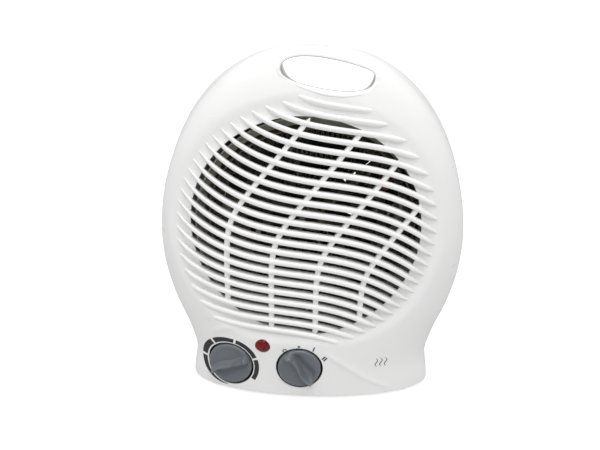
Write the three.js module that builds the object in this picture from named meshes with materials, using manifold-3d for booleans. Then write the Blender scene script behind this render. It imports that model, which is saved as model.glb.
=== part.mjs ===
// Upright fan convector heater. Millimetres, +Z up, front faces -Y, origin under the middle of the base.
import * as THREE from 'three';
import { mergeVertices } from 'three/addons/utils/BufferGeometryUtils.js';
import Module from 'manifold-3d';

const wasm = await Module();
wasm.setup();

// ---- Driving dimensions ----------------------------------------------------------------------------

const HEIGHT = 258;            // floor to the top of the handle
const FLOOR = 3.3;             // underside of the casing, above the rubber feet
const WIDEST = 108;            // half width at the widest height
const WIDEST_Z = 118;
const WALL = 2.4;
const GAP = 0.3;               // clearance between pieces that touch
const RIM_Y = -35;             // seam between the two shells at the floor
const RIM_SLOPE = 0.1317;      // the seam leans back as it rises
const FRONT_BULGE = 32;        // depth of the front shell at the widest height
const FRONT_BULGE_BASE = 28;
const BACK_Y = 62;             // rearmost face
const BACK_TAPER = 0.8;
const BACK_SQUARENESS = 3.2;
const CENTRE_Y = 4.2;          // brings the middle of the whole depth over the origin

// Half widths of the neck and the flared base, by height.
const BASE_PROFILE = [
  [0, 88.4], [12, 87.3], [27, 85.5], [45, 90], [70, 99.7], [95, 106], [WIDEST_Z, WIDEST],
];

const GRILLE_Z = 134;          // centre of the round outlet
const GRILLE_R = 84;
const GRILLE_SIDES = 32;
const GRILLE_RING = 3;
const GRILLE_DEPTH = 6;
const BARS = 23;
const BAR_HEIGHT = 3.3;
const BAR_DEPTH = 4.4;
const BAR_SPREAD = 86;         // height from the middle bar to the top bar
const BAR_STEPS = 7;
const RIBS = 4;
const RIB_WIDTH = 2.6;
const RIB_DEPTH = 4;
const RIB_SET_BACK = 3.4;
const RIB_FIRST_X = -59;
const RIB_PITCH = 31.5;
const RIB_BEND_Z = 144;
const RIB_BEND_DROP = 13;
const RIB_BEND_RADIUS = 8;
const RIB_LEAN = 0.8;

const HANDLE_X = 9.7;          // the finger hole sits to the right of the middle
const HANDLE_Z = 243;
const HANDLE_HALF = 31;
const HANDLE_RISE = 8.5;       // half height of the hole at the front
const HANDLE_TILT = -5.2;      // degrees
const HANDLE_FLOOR_SLOPE = 0.49;
const HANDLE_FLARE = 0.06;     // widening towards the back
const HANDLE_SKEW = 0.25;      // makes the left tip the sharper one
const HANDLE_FRONT_Y = -21;
const HANDLE_STEPS = 20;

const DUCT_R = 66;             // round the fan
const DUCT_MOUTH_R = 76;       // round the heating element
const DUCT_MOUTH_Y = -21;
const DUCT_STEP_Y = -4;        // the duct narrows behind the element
const DUCT_WALL = 1.5;
const FAN_Z = 132;
const FAN_R = 63;
const FAN_BLADES = 7;
const FAN_Y = 14;
const HEATER_Y = -14;
const HEATER_R = 73.5;
const HEATER_DEPTH = 14;
const RIBBON_RADII = [32, 50, 67.5];
const RIBBON_FOLD = 3;
const RIBBON_WIDTH = 9;
const INTAKE_R = 60;
const INTAKE_Y = 52;
const GUARD_PITCH = 9;

const MOTOR_Y = 37.5;
const STACK = { width: 44, depth: 12, above: 22, below: 40, leg: 10 };
const ROTOR_R = 11;
const SPINDLE_R = 2;
const BRIDGE = 1.6;
const BRACKET_Y = MOTOR_Y - STACK.depth / 2 - 2 * BRIDGE;
const BRACKET_R = DUCT_R + 8;
const BRACKET_POSTS = [90, 210, 330];

const KNOB_R = 17;
const KNOB_DISC = 10;          // from the bottom of the well to the face
const KNOB_RIDGE = 6.5;
const WELL_R = KNOB_R + 1;
const WELL_DEPTH = 8;
const WELL_WALL = 1.6;
const SHAFT_R = 3;
const SELECTOR = { x: -7.2, z: 28.2, turn: 0, lean: 5 };
const THERMOSTAT = { x: -58.5, z: 25, turn: -13, lean: 6 };
const LAMP = { x: -33.8, z: 44.7, r: 5 };

const CORD_ENTRY = { x: 55, z: 24, r: 6 };
const SCREW_POINTS = [[-78, 54], [78, 54], [-98, 112], [98, 112], [-68, 196], [68, 196]];
const FOOT_POINTS = [[-68, -42], [68, -42], [-60, 42], [60, 42]];
const FOOT_R = 7;
const POST_R = 4.4;            // screw posts of the front shell
const PILOT_R = 2.1;
const SCREW_WELL_R = 4.6;      // screw wells of the rear shell
const SCREW_CLEAR_R = 2.4;

// ---- Materials -------------------------------------------------------------------------------------

const finish = (color, roughness, metalness = 0) =>
  new THREE.MeshStandardMaterial({ color, roughness, metalness });
const WHITE = finish(0xf2f2f0, 0.3);
const SLATE = finish(0x666b70, 0.45);
const BLACK = finish(0x1b1c1e, 0.55);
const RED = finish(0xb3191c, 0.15);
const STEEL = finish(0xb9bcc0, 0.35, 1);
const ZINC = finish(0x9ea3a6, 0.45, 1);
const COPPER = finish(0xb06a3b, 0.35, 1);
const MICA = finish(0xb9a382, 0.6);
const NICHROME = finish(0x8d8a86, 0.4, 1);
const SHEET = finish(0xb8b2a4, 0.5, 0.6);
const PHENOLIC = finish(0x5d2f22, 0.6);
const RUBBER = finish(0x4b4d50, 0.85);
const CERAMIC = finish(0xe6e2d8, 0.5);

// ---- Solids ----------------------------------------------------------------------------------------

function solid(geometry) {
  const bare = geometry.clone();
  bare.deleteAttribute('normal');
  bare.deleteAttribute('uv');
  const merged = mergeVertices(bare, 1e-4);
  return new wasm.Manifold(new wasm.Mesh({
    numProp: 3,
    vertProperties: new Float32Array(merged.attributes.position.array),
    triVerts: new Uint32Array(merged.index.array),
  }));
}

function toGeometry(shape) {
  const mesh = shape.getMesh();
  const geometry = new THREE.BufferGeometry();
  geometry.setAttribute('position', new THREE.BufferAttribute(mesh.vertProperties, 3));
  geometry.setIndex(new THREE.BufferAttribute(mesh.triVerts, 1));
  geometry.computeVertexNormals();
  return geometry;
}

// Closed solid through a list of loops that all hold the same number of points.
function loft(loops) {
  const n = loops[0].length;
  const points = loops.flat();
  const faces = [];
  for (let row = 0; row + 1 < loops.length; row++) {
    for (let i = 0; i < n; i++) {
      const a = row * n + i;
      const b = row * n + (i + 1) % n;
      faces.push(a, b, b + n, a, b + n, a + n);
    }
  }
  for (const [row, flip] of [[0, true], [loops.length - 1, false]]) {
    const centre = new THREE.Vector3();
    loops[row].forEach((p) => centre.add(new THREE.Vector3(...p)));
    points.push(centre.divideScalar(n).toArray());
    for (let i = 0; i < n; i++) {
      const a = row * n + i;
      const b = row * n + (i + 1) % n;
      faces.push(...(flip ? [b, a, points.length - 1] : [a, b, points.length - 1]));
    }
  }
  const geometry = new THREE.BufferGeometry();
  geometry.setAttribute('position', new THREE.Float32BufferAttribute(points.flat(), 3));
  geometry.setIndex(faces);
  const shape = solid(geometry);
  if (shape.volume() > 0) return shape;
  geometry.setIndex(faces.reverse());
  return solid(geometry);
}

const cylinder = (r, length, sides = 24, r2 = r) => solid(new THREE.CylinderGeometry(r2, r, length, sides));
const box = (x, y, z) => solid(new THREE.BoxGeometry(x, y, z));

// Turns [radius, height] points about the Y axis.
function lathe(profile, sides) {
  const points = [...profile, profile[0]].map(([r, h]) => new THREE.Vector2(r, h));
  const geometry = new THREE.LatheGeometry(points, sides);
  const shape = solid(geometry);
  if (shape.volume() > 0) return shape;
  geometry.setIndex([...geometry.index.array].reverse());
  return solid(geometry);
}

// Turns a shape made along +Y so that +Y becomes the outward direction of a facing.
function facing({ turn, lean }) {
  const a = THREE.MathUtils.degToRad(turn);
  const l = THREE.MathUtils.degToRad(lean);
  return new THREE.Vector3(Math.sin(a) * Math.cos(l), -Math.cos(a) * Math.cos(l), Math.sin(l));
}

function placed(shape, position, direction) {
  const q = new THREE.Quaternion();
  q.setFromUnitVectors(new THREE.Vector3(0, 1, 0), direction.clone().normalize());
  const m = new THREE.Matrix4().compose(position, q, new THREE.Vector3(1, 1, 1));
  return shape.transform(m.elements.slice());
}

const moved = (shape, x, y, z) => shape.translate([x, y, z]);
const V = (x, y, z) => new THREE.Vector3(x, y, z);
const BACKWARD = V(0, 1, 0);
const UP = V(0, 0, 1);

// ---- Casing surfaces -------------------------------------------------------------------------------

const rimY = (z) => RIM_Y + RIM_SLOPE * z;

function dome(z, top) {
  const u = Math.min(Math.max((z - WIDEST_Z) / (top - WIDEST_Z), 0), 1);
  return 1 - u * u;
}

function halfWidth(z, inset = 0) {
  if (z >= WIDEST_Z) return (WIDEST - inset) * Math.sqrt(dome(z, HEIGHT - inset));
  const i = BASE_PROFILE.findIndex(([height]) => height > z);
  const [z0, w0] = BASE_PROFILE[i - 1];
  const [z1, w1] = BASE_PROFILE[i];
  return w0 + (w1 - w0) * (z - z0) / (z1 - z0) - inset;
}

function frontBulge(z, inset = 0) {
  if (z >= WIDEST_Z) return (FRONT_BULGE - inset) * Math.sqrt(dome(z, HEIGHT - inset));
  return FRONT_BULGE_BASE + (FRONT_BULGE - FRONT_BULGE_BASE) * z / WIDEST_Z - inset;
}

function backBulge(z, inset = 0) {
  const widest = BACK_Y - rimY(WIDEST_Z) - inset;
  if (z >= WIDEST_Z) return widest * dome(z, HEIGHT - inset) ** BACK_TAPER;
  return BACK_Y - rimY(z) - inset;
}

function frontY(x, z) {
  const side = Math.min(Math.abs(x) / halfWidth(z), 1);
  return rimY(z) - frontBulge(z) * Math.sqrt(1 - side * side);
}

const ARC_STEPS = 16;
const DOME_ROWS = 8;
const LOWER_ROWS = [12, 27, 45, 70, 95];

// Half of the body, in front of the seam (side -1) or behind it (side 1).
function halfBody(side, inset, overlap) {
  const top = HEIGHT - inset;
  const rows = [FLOOR + inset, ...LOWER_ROWS];
  for (let i = 0; i < DOME_ROWS; i++) {
    rows.push(WIDEST_Z + (top - WIDEST_Z) * Math.sin(i / DOME_ROWS * Math.PI / 2));
  }
  rows.push(top - 0.05);
  const power = side < 0 ? 1 : 2 / BACK_SQUARENESS;
  const loops = rows.map((z) => {
    const w = Math.max(halfWidth(z, inset), 0.5);
    const d = side < 0 ? frontBulge(z, inset) : backBulge(z, inset);
    const seam = rimY(z) + side * GAP / 2;
    const loop = [];
    for (let i = 0; i <= ARC_STEPS; i++) {
      const a = Math.PI * i / ARC_STEPS;
      const c = Math.cos(a);
      const x = w * Math.sign(c) * Math.abs(c) ** power;
      loop.push([x, seam + side * Math.max(d, 0.4) * Math.sin(a) ** power, z]);
    }
    if (overlap) loop.push([-w, seam - side * overlap, z], [w, seam - side * overlap, z]);
    return loop;
  });
  return loft(loops);
}

function shellHalf(side) {
  return halfBody(side, 0, 0).subtract(halfBody(side, WALL, 2));
}

// Leaf-shaped outline of the finger hole at one depth. The floor of the hole falls towards the back.
function handleLoop(y, grow) {
  const behind = Math.max(y - HANDLE_FRONT_Y, 0);
  const tilt = THREE.MathUtils.degToRad(HANDLE_TILT);
  const loop = [];
  for (let i = 0; i < HANDLE_STEPS; i++) {
    const a = 2 * Math.PI * i / HANDLE_STEPS;
    const along = (HANDLE_HALF + grow + behind * HANDLE_FLARE) * Math.cos(a);
    const lower = i > HANDLE_STEPS / 2;
    const skew = 1 - HANDLE_SKEW * Math.cos(a) * (lower ? -1 : 1);
    const across = (HANDLE_RISE + grow) * Math.sin(a) * skew;
    const x = HANDLE_X + along * Math.cos(tilt) - across * Math.sin(tilt);
    const z = HANDLE_Z + along * Math.sin(tilt) + across * Math.cos(tilt);
    loop.push([x, y, lower ? z - behind * HANDLE_FLOOR_SLOPE : z]);
  }
  return loop;
}

const handleTunnel = (grow) => loft([-60, HANDLE_FRONT_Y, 70].map((y) => handleLoop(y, grow)));

// ---- Places that pieces share ----------------------------------------------------------------------

function onPanel({ x, z }) {
  return V(x, frontY(x, z), z);
}

function alongAxis(control, distance) {
  return onPanel(control).addScaledVector(facing(control), distance);
}

function backY(x, z) {
  const side = Math.min(Math.abs(x) / halfWidth(z), 1);
  return rimY(z) + backBulge(z) * (1 - side ** BACK_SQUARENESS) ** (1 / BACK_SQUARENESS);
}

const cordSeatY = backY(CORD_ENTRY.x - 10, CORD_ENTRY.z) + 1;
const screwSeatY = (z) => rimY(z) + 8;

function onBracket(degrees) {
  const a = THREE.MathUtils.degToRad(degrees);
  const r = BRACKET_R - 3.6;
  return [r * Math.cos(a), FAN_Z + r * Math.sin(a)];
}

// ---- Casing ----------------------------------------------------------------------------------------

function frontShell() {
  const body = halfBody(-1, 0, 0);
  let shell = shellHalf(-1);
  shell = shell.add(handleTunnel(WALL).intersect(body)).subtract(handleTunnel(0));
  for (const [x, z] of SCREW_POINTS) {
    const front = frontY(x, z);
    const length = rimY(z) - GAP - front;
    const post = moved(cylinder(POST_R, length, 10), x, front + length / 2, z);
    shell = shell.add(post.intersect(body));
    const pilot = moved(cylinder(PILOT_R, 13, 8), x, rimY(z) - 6, z);
    shell = shell.subtract(pilot);
  }
  const outlet = moved(cylinder(GRILLE_R, 60, GRILLE_SIDES), 0, -50, GRILLE_Z);
  shell = shell.subtract(outlet);
  for (const control of [SELECTOR, THERMOSTAT]) {
    const out = facing(control);
    const cup = cylinder(WELL_R + WELL_WALL, 16, 28);
    const hollow = cylinder(WELL_R, 20, 28);
    const shaftHole = cylinder(SHAFT_R + 1.3, 12, 14);
    shell = shell.add(placed(cup, alongAxis(control, 8 - WELL_DEPTH - WELL_WALL), out).intersect(body));
    shell = shell.subtract(placed(hollow, alongAxis(control, 10 - WELL_DEPTH), out));
    shell = shell.subtract(placed(shaftHole, alongAxis(control, -WELL_DEPTH), out));
  }
  const lampHole = placed(cylinder(LAMP.r + GAP, 16, 18), onPanel(LAMP), BACKWARD);
  return shell.subtract(lampHole);
}

const INTAKE_COLLAR = 15;      // depth of the collar that the guard sits in

function rearShell() {
  const body = halfBody(1, 0, 0);
  let shell = shellHalf(1);
  shell = shell.add(handleTunnel(WALL).intersect(body)).subtract(handleTunnel(0));
  const [inner, outer] = [INTAKE_R, INTAKE_R + WALL];
  const collar = lathe([[inner, 0], [outer, 0], [outer, 30], [inner, 30]], 32);
  shell = shell.add(moved(collar, 0, BACK_Y - INTAKE_COLLAR, FAN_Z).intersect(body));
  const intake = cylinder(INTAKE_R, 60, 32);
  shell = shell.subtract(moved(intake, 0, BACK_Y, FAN_Z));
  for (const [x, z] of SCREW_POINTS) {
    const seat = screwSeatY(z);
    const from = rimY(z) + GAP;
    const post = cylinder(6.4, BACK_Y + 5 - from, 12);
    const well = cylinder(SCREW_WELL_R, 90, 12);
    const clear = cylinder(SCREW_CLEAR_R, 20, 8);
    shell = shell.add(moved(post, x, (BACK_Y + 5 + from) / 2, z).intersect(body));
    shell = shell.subtract(moved(well, x, seat + 45, z));
    shell = shell.subtract(moved(clear, x, seat - 5, z));
  }
  for (const degrees of BRACKET_POSTS) {
    const [x, z] = onBracket(degrees);
    const post = moved(cylinder(4, 60, 10), x, BRACKET_Y + BRIDGE / 2 + GAP + 30, z);
    const pilot = moved(cylinder(1.6, 24, 8), x, BRACKET_Y + 6, z);
    shell = shell.add(post.intersect(body)).subtract(pilot);
  }
  const { x, z, r } = CORD_ENTRY;
  const boss = moved(cylinder(r + 4.5, 10, 20), x, cordSeatY - 5, z);
  return shell.add(boss).subtract(moved(cylinder(r, 40, 18), x, cordSeatY, z));
}

// Height of a bar at x. The bars run flat in the middle and fall away to the right in one long wave.
function barZ(index, x) {
  const q = (2 * index) / (BARS - 1) - 1;
  const u = x / 80;
  const tilt = 10.3 + 6.9 * q * q;
  const fan = 5.6 + 22 * q;
  return GRILLE_Z + 1.75 - BAR_SPREAD * q - 2 * q * q - tilt * u - fan * u * u - 19.3 * u ** 3;
}

function barSolid(index) {
  const inside = (x) => Math.hypot(x, barZ(index, x) - GRILLE_Z) < GRILLE_R - 2.8;
  const xs = [];
  for (let x = -GRILLE_R; x <= GRILLE_R; x += 0.5) if (inside(x)) xs.push(x);
  if (xs.length < 12) return null;
  const loops = [];
  for (let i = 0; i <= BAR_STEPS; i++) {
    const x = xs[0] + (xs[xs.length - 1] - xs[0]) * i / BAR_STEPS;
    const z = barZ(index, x);
    const y = frontY(x, z) + 0.4;
    const h = BAR_HEIGHT / 2;
    loops.push([[x, y, z - h], [x, y + BAR_DEPTH, z - h], [x, y + BAR_DEPTH, z + h], [x, y, z + h]]);
  }
  return loft(loops);
}

function ribX(index, z) {
  const s = (z - (RIB_BEND_Z - RIB_BEND_DROP * index)) / RIB_BEND_RADIUS;
  return RIB_FIRST_X + RIB_PITCH * index + RIB_LEAN * RIB_BEND_RADIUS * Math.log(1 + Math.exp(s));
}

function ribSolid(index) {
  const inside = (z) => Math.hypot(ribX(index, z), z - GRILLE_Z) < GRILLE_R - 2.8;
  const zs = [];
  for (let z = GRILLE_Z - GRILLE_R; z <= GRILLE_Z + GRILLE_R; z += 0.5) if (inside(z)) zs.push(z);
  const loops = [];
  const steps = 12;
  for (let i = 0; i <= steps; i++) {
    const z = zs[0] + (zs[zs.length - 1] - zs[0]) * i / steps;
    const x = ribX(index, z);
    const y = frontY(x, z) + RIB_SET_BACK;
    const h = RIB_WIDTH / 2;
    loops.push([[x - h, y, z], [x + h, y, z], [x + h, y + RIB_DEPTH, z], [x - h, y + RIB_DEPTH, z]]);
  }
  return loft(loops);
}

function frontGrille() {
  const loops = [];
  for (let i = 0; i < GRILLE_SIDES; i++) {
    const a = 2 * Math.PI * i / GRILLE_SIDES;
    const at = (r, depth) => {
      const x = r * Math.cos(a);
      const z = GRILLE_Z + r * Math.sin(a);
      return [x, frontY(x * (GRILLE_R / r), GRILLE_Z + GRILLE_R * Math.sin(a)) + depth, z];
    };
    const outer = GRILLE_R - GAP;
    const inner = outer - GRILLE_RING;
    loops.push([at(outer, 0.4), at(inner, 0.4), at(inner, GRILLE_DEPTH), at(outer, GRILLE_DEPTH)]);
  }
  let grille = ringOf(loops);
  for (let i = 0; i < BARS; i++) {
    const bar = barSolid(i);
    if (bar) grille = grille.add(bar);
  }
  for (let i = 0; i < RIBS; i++) grille = grille.add(ribSolid(i));
  return grille;
}

// Closed ring through loops of equal length.
function ringOf(loops) {
  const n = loops[0].length;
  const faces = [];
  loops.forEach((_, row) => {
    for (let i = 0; i < n; i++) {
      const a = row * n + i;
      const b = row * n + (i + 1) % n;
      const c = ((row + 1) % loops.length) * n;
      faces.push(a, b, c + (i + 1) % n, a, c + (i + 1) % n, c + i);
    }
  });
  const geometry = new THREE.BufferGeometry();
  geometry.setAttribute('position', new THREE.Float32BufferAttribute(loops.flat(2), 3));
  geometry.setIndex(faces);
  const shape = solid(geometry);
  if (shape.volume() > 0) return shape;
  geometry.setIndex(faces.reverse());
  return solid(geometry);
}

// Snap-in guard over the intake: rings on spokes.
function rearGuard() {
  const outer = INTAKE_R - GAP;
  const ring = (r, width, depth) => lathe([[r - width, 0], [r, 0], [r, depth], [r - width, depth]], 24);
  let guard = ring(outer, 4, 5);
  for (let r = GUARD_PITCH * 2; r < outer - 6; r += GUARD_PITCH) guard = guard.add(ring(r + 1.2, 2.4, 3));
  const spokes = 6;
  for (let i = 0; i < spokes / 2; i++) {
    const spoke = box(2 * outer - 2, 3, 3).rotate([0, i * 360 / spokes, 0]);
    guard = guard.add(spoke.translate([0, 1.5, 0]));
  }
  guard = guard.add(cylinder(9, 3, 20).translate([0, 1.5, 0]));
  return moved(guard, 0, INTAKE_Y, FAN_Z);
}

// ---- Air path --------------------------------------------------------------------------------------

const atFan = (shape, y) => moved(shape, 0, y, FAN_Z);

function duct() {
  const neck = DUCT_STEP_Y + 8;
  const back = BRACKET_Y - 1.3;
  const profile = [
    [DUCT_MOUTH_R, DUCT_MOUTH_Y], [DUCT_MOUTH_R + DUCT_WALL, DUCT_MOUTH_Y],
    [DUCT_MOUTH_R + DUCT_WALL, DUCT_STEP_Y], [DUCT_R + DUCT_WALL, neck], [DUCT_R + DUCT_WALL, back],
    [DUCT_R, back], [DUCT_R, neck], [DUCT_MOUTH_R, DUCT_STEP_Y],
  ];
  return atFan(lathe(profile, 36), 0);
}

function motorBracket() {
  let bracket = cylinder(BRACKET_R, BRIDGE, 30).subtract(cylinder(DUCT_R - 4, 5, 30));
  const from = 12;
  const reach = DUCT_R - 2 - from;
  for (let i = 0; i < 3; i++) {
    const arm = box(reach, BRIDGE, 9).translate([from + reach / 2, 0, 0]);
    bracket = bracket.add(arm.rotate([0, 120 * i - 90, 0]));
  }
  bracket = bracket.add(cylinder(17, BRIDGE, 20)).subtract(cylinder(5 + GAP, 6, 14));
  bracket = atFan(bracket, BRACKET_Y);
  for (const degrees of BRACKET_POSTS) {
    const [x, z] = onBracket(degrees);
    bracket = bracket.subtract(moved(cylinder(1.9, 6, 8), x, BRACKET_Y, z));
  }
  return bracket;
}

function motorStack() {
  const { width, depth, above, below, leg } = STACK;
  const block = box(width, depth, above + below).translate([0, 0, (above - below) / 2]);
  const bore = cylinder(ROTOR_R + 0.6, 30, 20);
  const windowHeight = below - leg - ROTOR_R - 5;
  const window = box(width / 2, 30, windowHeight).translate([0, 0, leg - below + windowHeight / 2]);
  return atFan(block.subtract(bore).subtract(window), MOTOR_Y);
}

function motorCoil() {
  const { width, depth, below, leg } = STACK;
  const middle = leg / 2 - below;
  const winding = box(width / 2 - 2, depth + 6, leg + 10).translate([0, 0, middle]);
  const core = box(width, depth + 2 * GAP, leg + 2 * GAP).translate([0, 0, middle]);
  return atFan(winding.subtract(core), MOTOR_Y);
}

// Pressed strip across the stack that carries a bearing for the spindle.
function bearingBridge(side) {
  const strip = box(STACK.width, BRIDGE, 10).add(cylinder(5, BRIDGE + 2, 14).translate([0, side, 0]));
  const y = MOTOR_Y + side * (STACK.depth / 2 + GAP + BRIDGE / 2);
  return atFan(strip.subtract(cylinder(SPINDLE_R + GAP, 20, 12)), y);
}

function rotor() {
  const bore = cylinder(SPINDLE_R + GAP, 30, 12);
  return atFan(cylinder(ROTOR_R, STACK.depth, 20).subtract(bore), MOTOR_Y);
}

function spindle() {
  const from = FAN_Y - 6;
  const to = MOTOR_Y + 12;
  return atFan(cylinder(SPINDLE_R, to - from, 12), (from + to) / 2);
}

function impeller() {
  let wheel = lathe([
    [0, -9], [12, -8], [15, -3], [15, 7], [12.6, 7], [12.6, -4], [5, -4], [5, 6], [0, 6],
  ], 20);
  wheel = wheel.subtract(cylinder(SPINDLE_R + GAP, 14, 12).translate([0, 0.9, 0]));
  for (let i = 0; i < FAN_BLADES; i++) {
    const loops = [];
    const steps = 5;
    for (let k = 0; k <= steps; k++) {
      const r = 14 + (FAN_R - 14) * k / steps;
      const pitch = THREE.MathUtils.degToRad(46 - 20 * k / steps);
      const chord = 15 + 29 * k / steps;
      const sweep = 0.22 * (k / steps) ** 2;
      const dx = Math.cos(pitch) * chord / 2;
      const dy = Math.sin(pitch) * chord / 2;
      const half = 0.9;
      const corner = (s, t) => {
        const w = s * dx + t * half * Math.sin(pitch);
        const a = sweep + w / r;
        return [r * Math.cos(a), s * -dy + t * half * Math.cos(pitch), r * Math.sin(a)];
      };
      loops.push([corner(-1, -1), corner(1, -1), corner(1, 1), corner(-1, 1)]);
    }
    wheel = wheel.add(loft(loops).rotate([0, 360 * i / FAN_BLADES, 0]));
  }
  return atFan(wheel, FAN_Y);
}

const FINS = 6;
const ribbonTrack = (radius, from, to, play) => lathe(
  [[radius - play, from], [radius + play, from], [radius + play, to], [radius - play, to]], 24);

// Crossed insulating fins in a band, notched from the front for the ribbons.
function heaterFrame() {
  const half = HEATER_DEPTH / 2;
  let frame = cylinder(9, HEATER_DEPTH, 14).subtract(cylinder(5, 20, 14));
  const reach = HEATER_R - 7;
  for (let i = 0; i < FINS; i++) {
    const fin = box(reach, HEATER_DEPTH, 1.2).translate([reach / 2 + 6.5, 0, 0]);
    frame = frame.add(fin.rotate([0, 360 * i / FINS + 15, 0]));
  }
  const spine = half - 3;
  RIBBON_RADII.forEach((radius) => {
    frame = frame.subtract(ribbonTrack(radius, -half - 1, spine, RIBBON_FOLD + 1));
  });
  const inner = HEATER_R - 1;
  frame = frame.add(lathe([[inner, -half], [HEATER_R, -half], [HEATER_R, half], [inner, half]], 36));
  const tab = DUCT_MOUTH_R - 2 * GAP - HEATER_R + 0.6;
  for (let i = 0; i < 3; i++) {
    const ear = box(tab, 3, 8).translate([HEATER_R - 0.6 + tab / 2, half - 1, 0]);
    frame = frame.add(ear.rotate([0, 120 * i + 30, 0]));
  }
  return atFan(frame, HEATER_Y);
}

// Corrugated resistance ribbon laid in a ring.
function ribbon(radius) {
  const folds = 2 * Math.round(radius * 0.4);
  const back = HEATER_DEPTH / 2 - 3 - GAP;
  const loops = [];
  for (let i = 0; i < folds; i++) {
    const a = 2 * Math.PI * i / folds;
    const r = radius + (i % 2 ? RIBBON_FOLD : -RIBBON_FOLD);
    const point = (dr, y) => [(r + dr) * Math.cos(a), y, (r + dr) * Math.sin(a)];
    const front = back - RIBBON_WIDTH;
    loops.push([point(-0.5, front), point(0.5, front), point(0.5, back), point(-0.5, back)]);
  }
  return atFan(ringOf(loops), HEATER_Y);
}

const CUTOUT = { radius: 58.8, degrees: 30, r: 4.6, depth: 7 };

function besideHeater({ radius, degrees, r, depth }) {
  const a = THREE.MathUtils.degToRad(degrees);
  return moved(atFan(cylinder(r, depth, 14), HEATER_Y - 1), radius * Math.cos(a), 0, radius * Math.sin(a));
}

const FUSE = { radius: 41, degrees: 200, r: 2, depth: 12 };

// ---- Controls --------------------------------------------------------------------------------------

// A knob whose pointed ridge is turned clockwise, seen from the front, from straight up.
function knob(control, pointerDegrees) {
  const rounded = KNOB_DISC - 1;
  const disc = lathe([
    [0, 0], [KNOB_R - 0.6, 0], [KNOB_R, 1], [KNOB_R, rounded], [KNOB_R - 1, KNOB_DISC], [0, KNOB_DISC],
  ], 32);
  const outline = new THREE.Shape();
  const reach = KNOB_R - 1;
  outline.moveTo(1.6, -reach);
  outline.bezierCurveTo(3.2, -5, 3.6, 3, 5.6, reach - 4);
  outline.bezierCurveTo(5.8, reach - 1, 3, reach + 0.4, 0, reach + 0.4);
  outline.bezierCurveTo(-3, reach + 0.4, -5.8, reach - 1, -5.6, reach - 4);
  outline.bezierCurveTo(-3.6, 3, -3.2, -5, -1.6, -reach);
  outline.lineTo(1.6, -reach);
  const depth = KNOB_RIDGE + 2;
  const ridge = solid(new THREE.ExtrudeGeometry(outline, { depth, bevelEnabled: false, curveSegments: 4 }));
  const grip = ridge.rotate([-90, 0, 0]).translate([0, KNOB_DISC - 2, 0]);
  const socket = cylinder(SHAFT_R + GAP, 7, 12).translate([0, 3.4, 0]);
  const shape = disc.add(grip).subtract(socket).rotate([0, -pointerDegrees, 0]);
  return placedUpright(shape, alongAxis(control, -WELL_DEPTH + 1), control);
}

// Places a shape made along +Y with its -Z side kept on top.
function placedUpright(shape, position, control) {
  const out = facing(control);
  const right = new THREE.Vector3().crossVectors(UP, out).normalize();
  const up = new THREE.Vector3().crossVectors(out, right);
  const m = new THREE.Matrix4().makeBasis(right, out, up.clone().negate());
  m.setPosition(position);
  return shape.transform(m.elements.slice());
}

function shaftFor(control) {
  return placed(cylinder(SHAFT_R, 15, 12), alongAxis(control, -WELL_DEPTH - 2.8), facing(control));
}

// Sets a switch or thermostat against the back of a knob's well, bored for the shaft.
function behindWell(shape, control, depth) {
  const bore = cylinder(SHAFT_R + 0.6, 18, 12).translate([0, depth / 2, 0]);
  const centre = alongAxis(control, -WELL_DEPTH - WELL_WALL - GAP - depth / 2);
  return placedUpright(shape.subtract(bore), centre, control);
}

const switchBody = (control, side, depth) => behindWell(box(side, depth, side), control, depth);
const thermostatBody = (control, r, depth) => behindWell(cylinder(r, depth, 20), control, depth);

function lampLens() {
  const panel = onPanel(LAMP);
  const collar = LAMP.r + 0.9;
  const lens = lathe([
    [0, -7], [4, -7], [LAMP.r, -6], [LAMP.r, 0.4], [collar, 0.5], [collar, 1.4], [3.4, 3.4], [0, 4],
  ], 12);
  return placed(lens, V(panel.x, panel.y - 1.9, panel.z), V(0, -1, 0));
}

function lampBody() {
  const panel = onPanel(LAMP);
  return placed(cylinder(3.8, 12, 14), V(panel.x, panel.y + 12, panel.z), BACKWARD);
}

// ---- Fixings and electrics -------------------------------------------------------------------------

function screw([x, z]) {
  const seat = screwSeatY(z);
  const head = lathe([[0, 0], [3.6, 0], [3.6, 1.2], [2.4, 2.6], [0, 2.6]], 10);
  const shank = cylinder(1.7, 17, 8).translate([0, -8, 0]);
  return moved(head.add(shank), x, seat + GAP, z);
}

function bracketScrew(degrees) {
  const [x, z] = onBracket(degrees);
  const head = cylinder(2.5, 1.6, 10);
  const shank = cylinder(1.3, 12, 8).translate([0, 6.5, 0]);
  return moved(head.add(shank), x, BRACKET_Y - BRIDGE / 2 - GAP - 0.8, z);
}

function foot([x, y]) {
  const height = FLOOR - GAP;
  const pad = lathe([[0, 0], [FOOT_R - 1, 0], [FOOT_R, 1], [FOOT_R, height], [0, height]], 14);
  return placed(pad, V(x, y, 0), UP);
}

const TERMINALS = { x: 30, y: 36, size: [34, 12, 14] };

function terminalBlock() {
  const { x, y, size } = TERMINALS;
  let block = box(...size);
  for (const dx of [-10, 0, 10]) block = block.subtract(box(5, 20, 5).translate([dx, 0, 1]));
  return moved(block, x, y, FLOOR + WALL + GAP + size[2] / 2);
}

function cordBush() {
  const r = CORD_ENTRY.r - GAP;
  const rim = r + 2.5;
  const bush = lathe([[3.6, -11], [r, -11], [r, GAP], [rim, GAP], [rim, 2.5], [3.6, 2.5]], 18);
  return moved(bush, CORD_ENTRY.x, cordSeatY, CORD_ENTRY.z);
}

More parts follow.
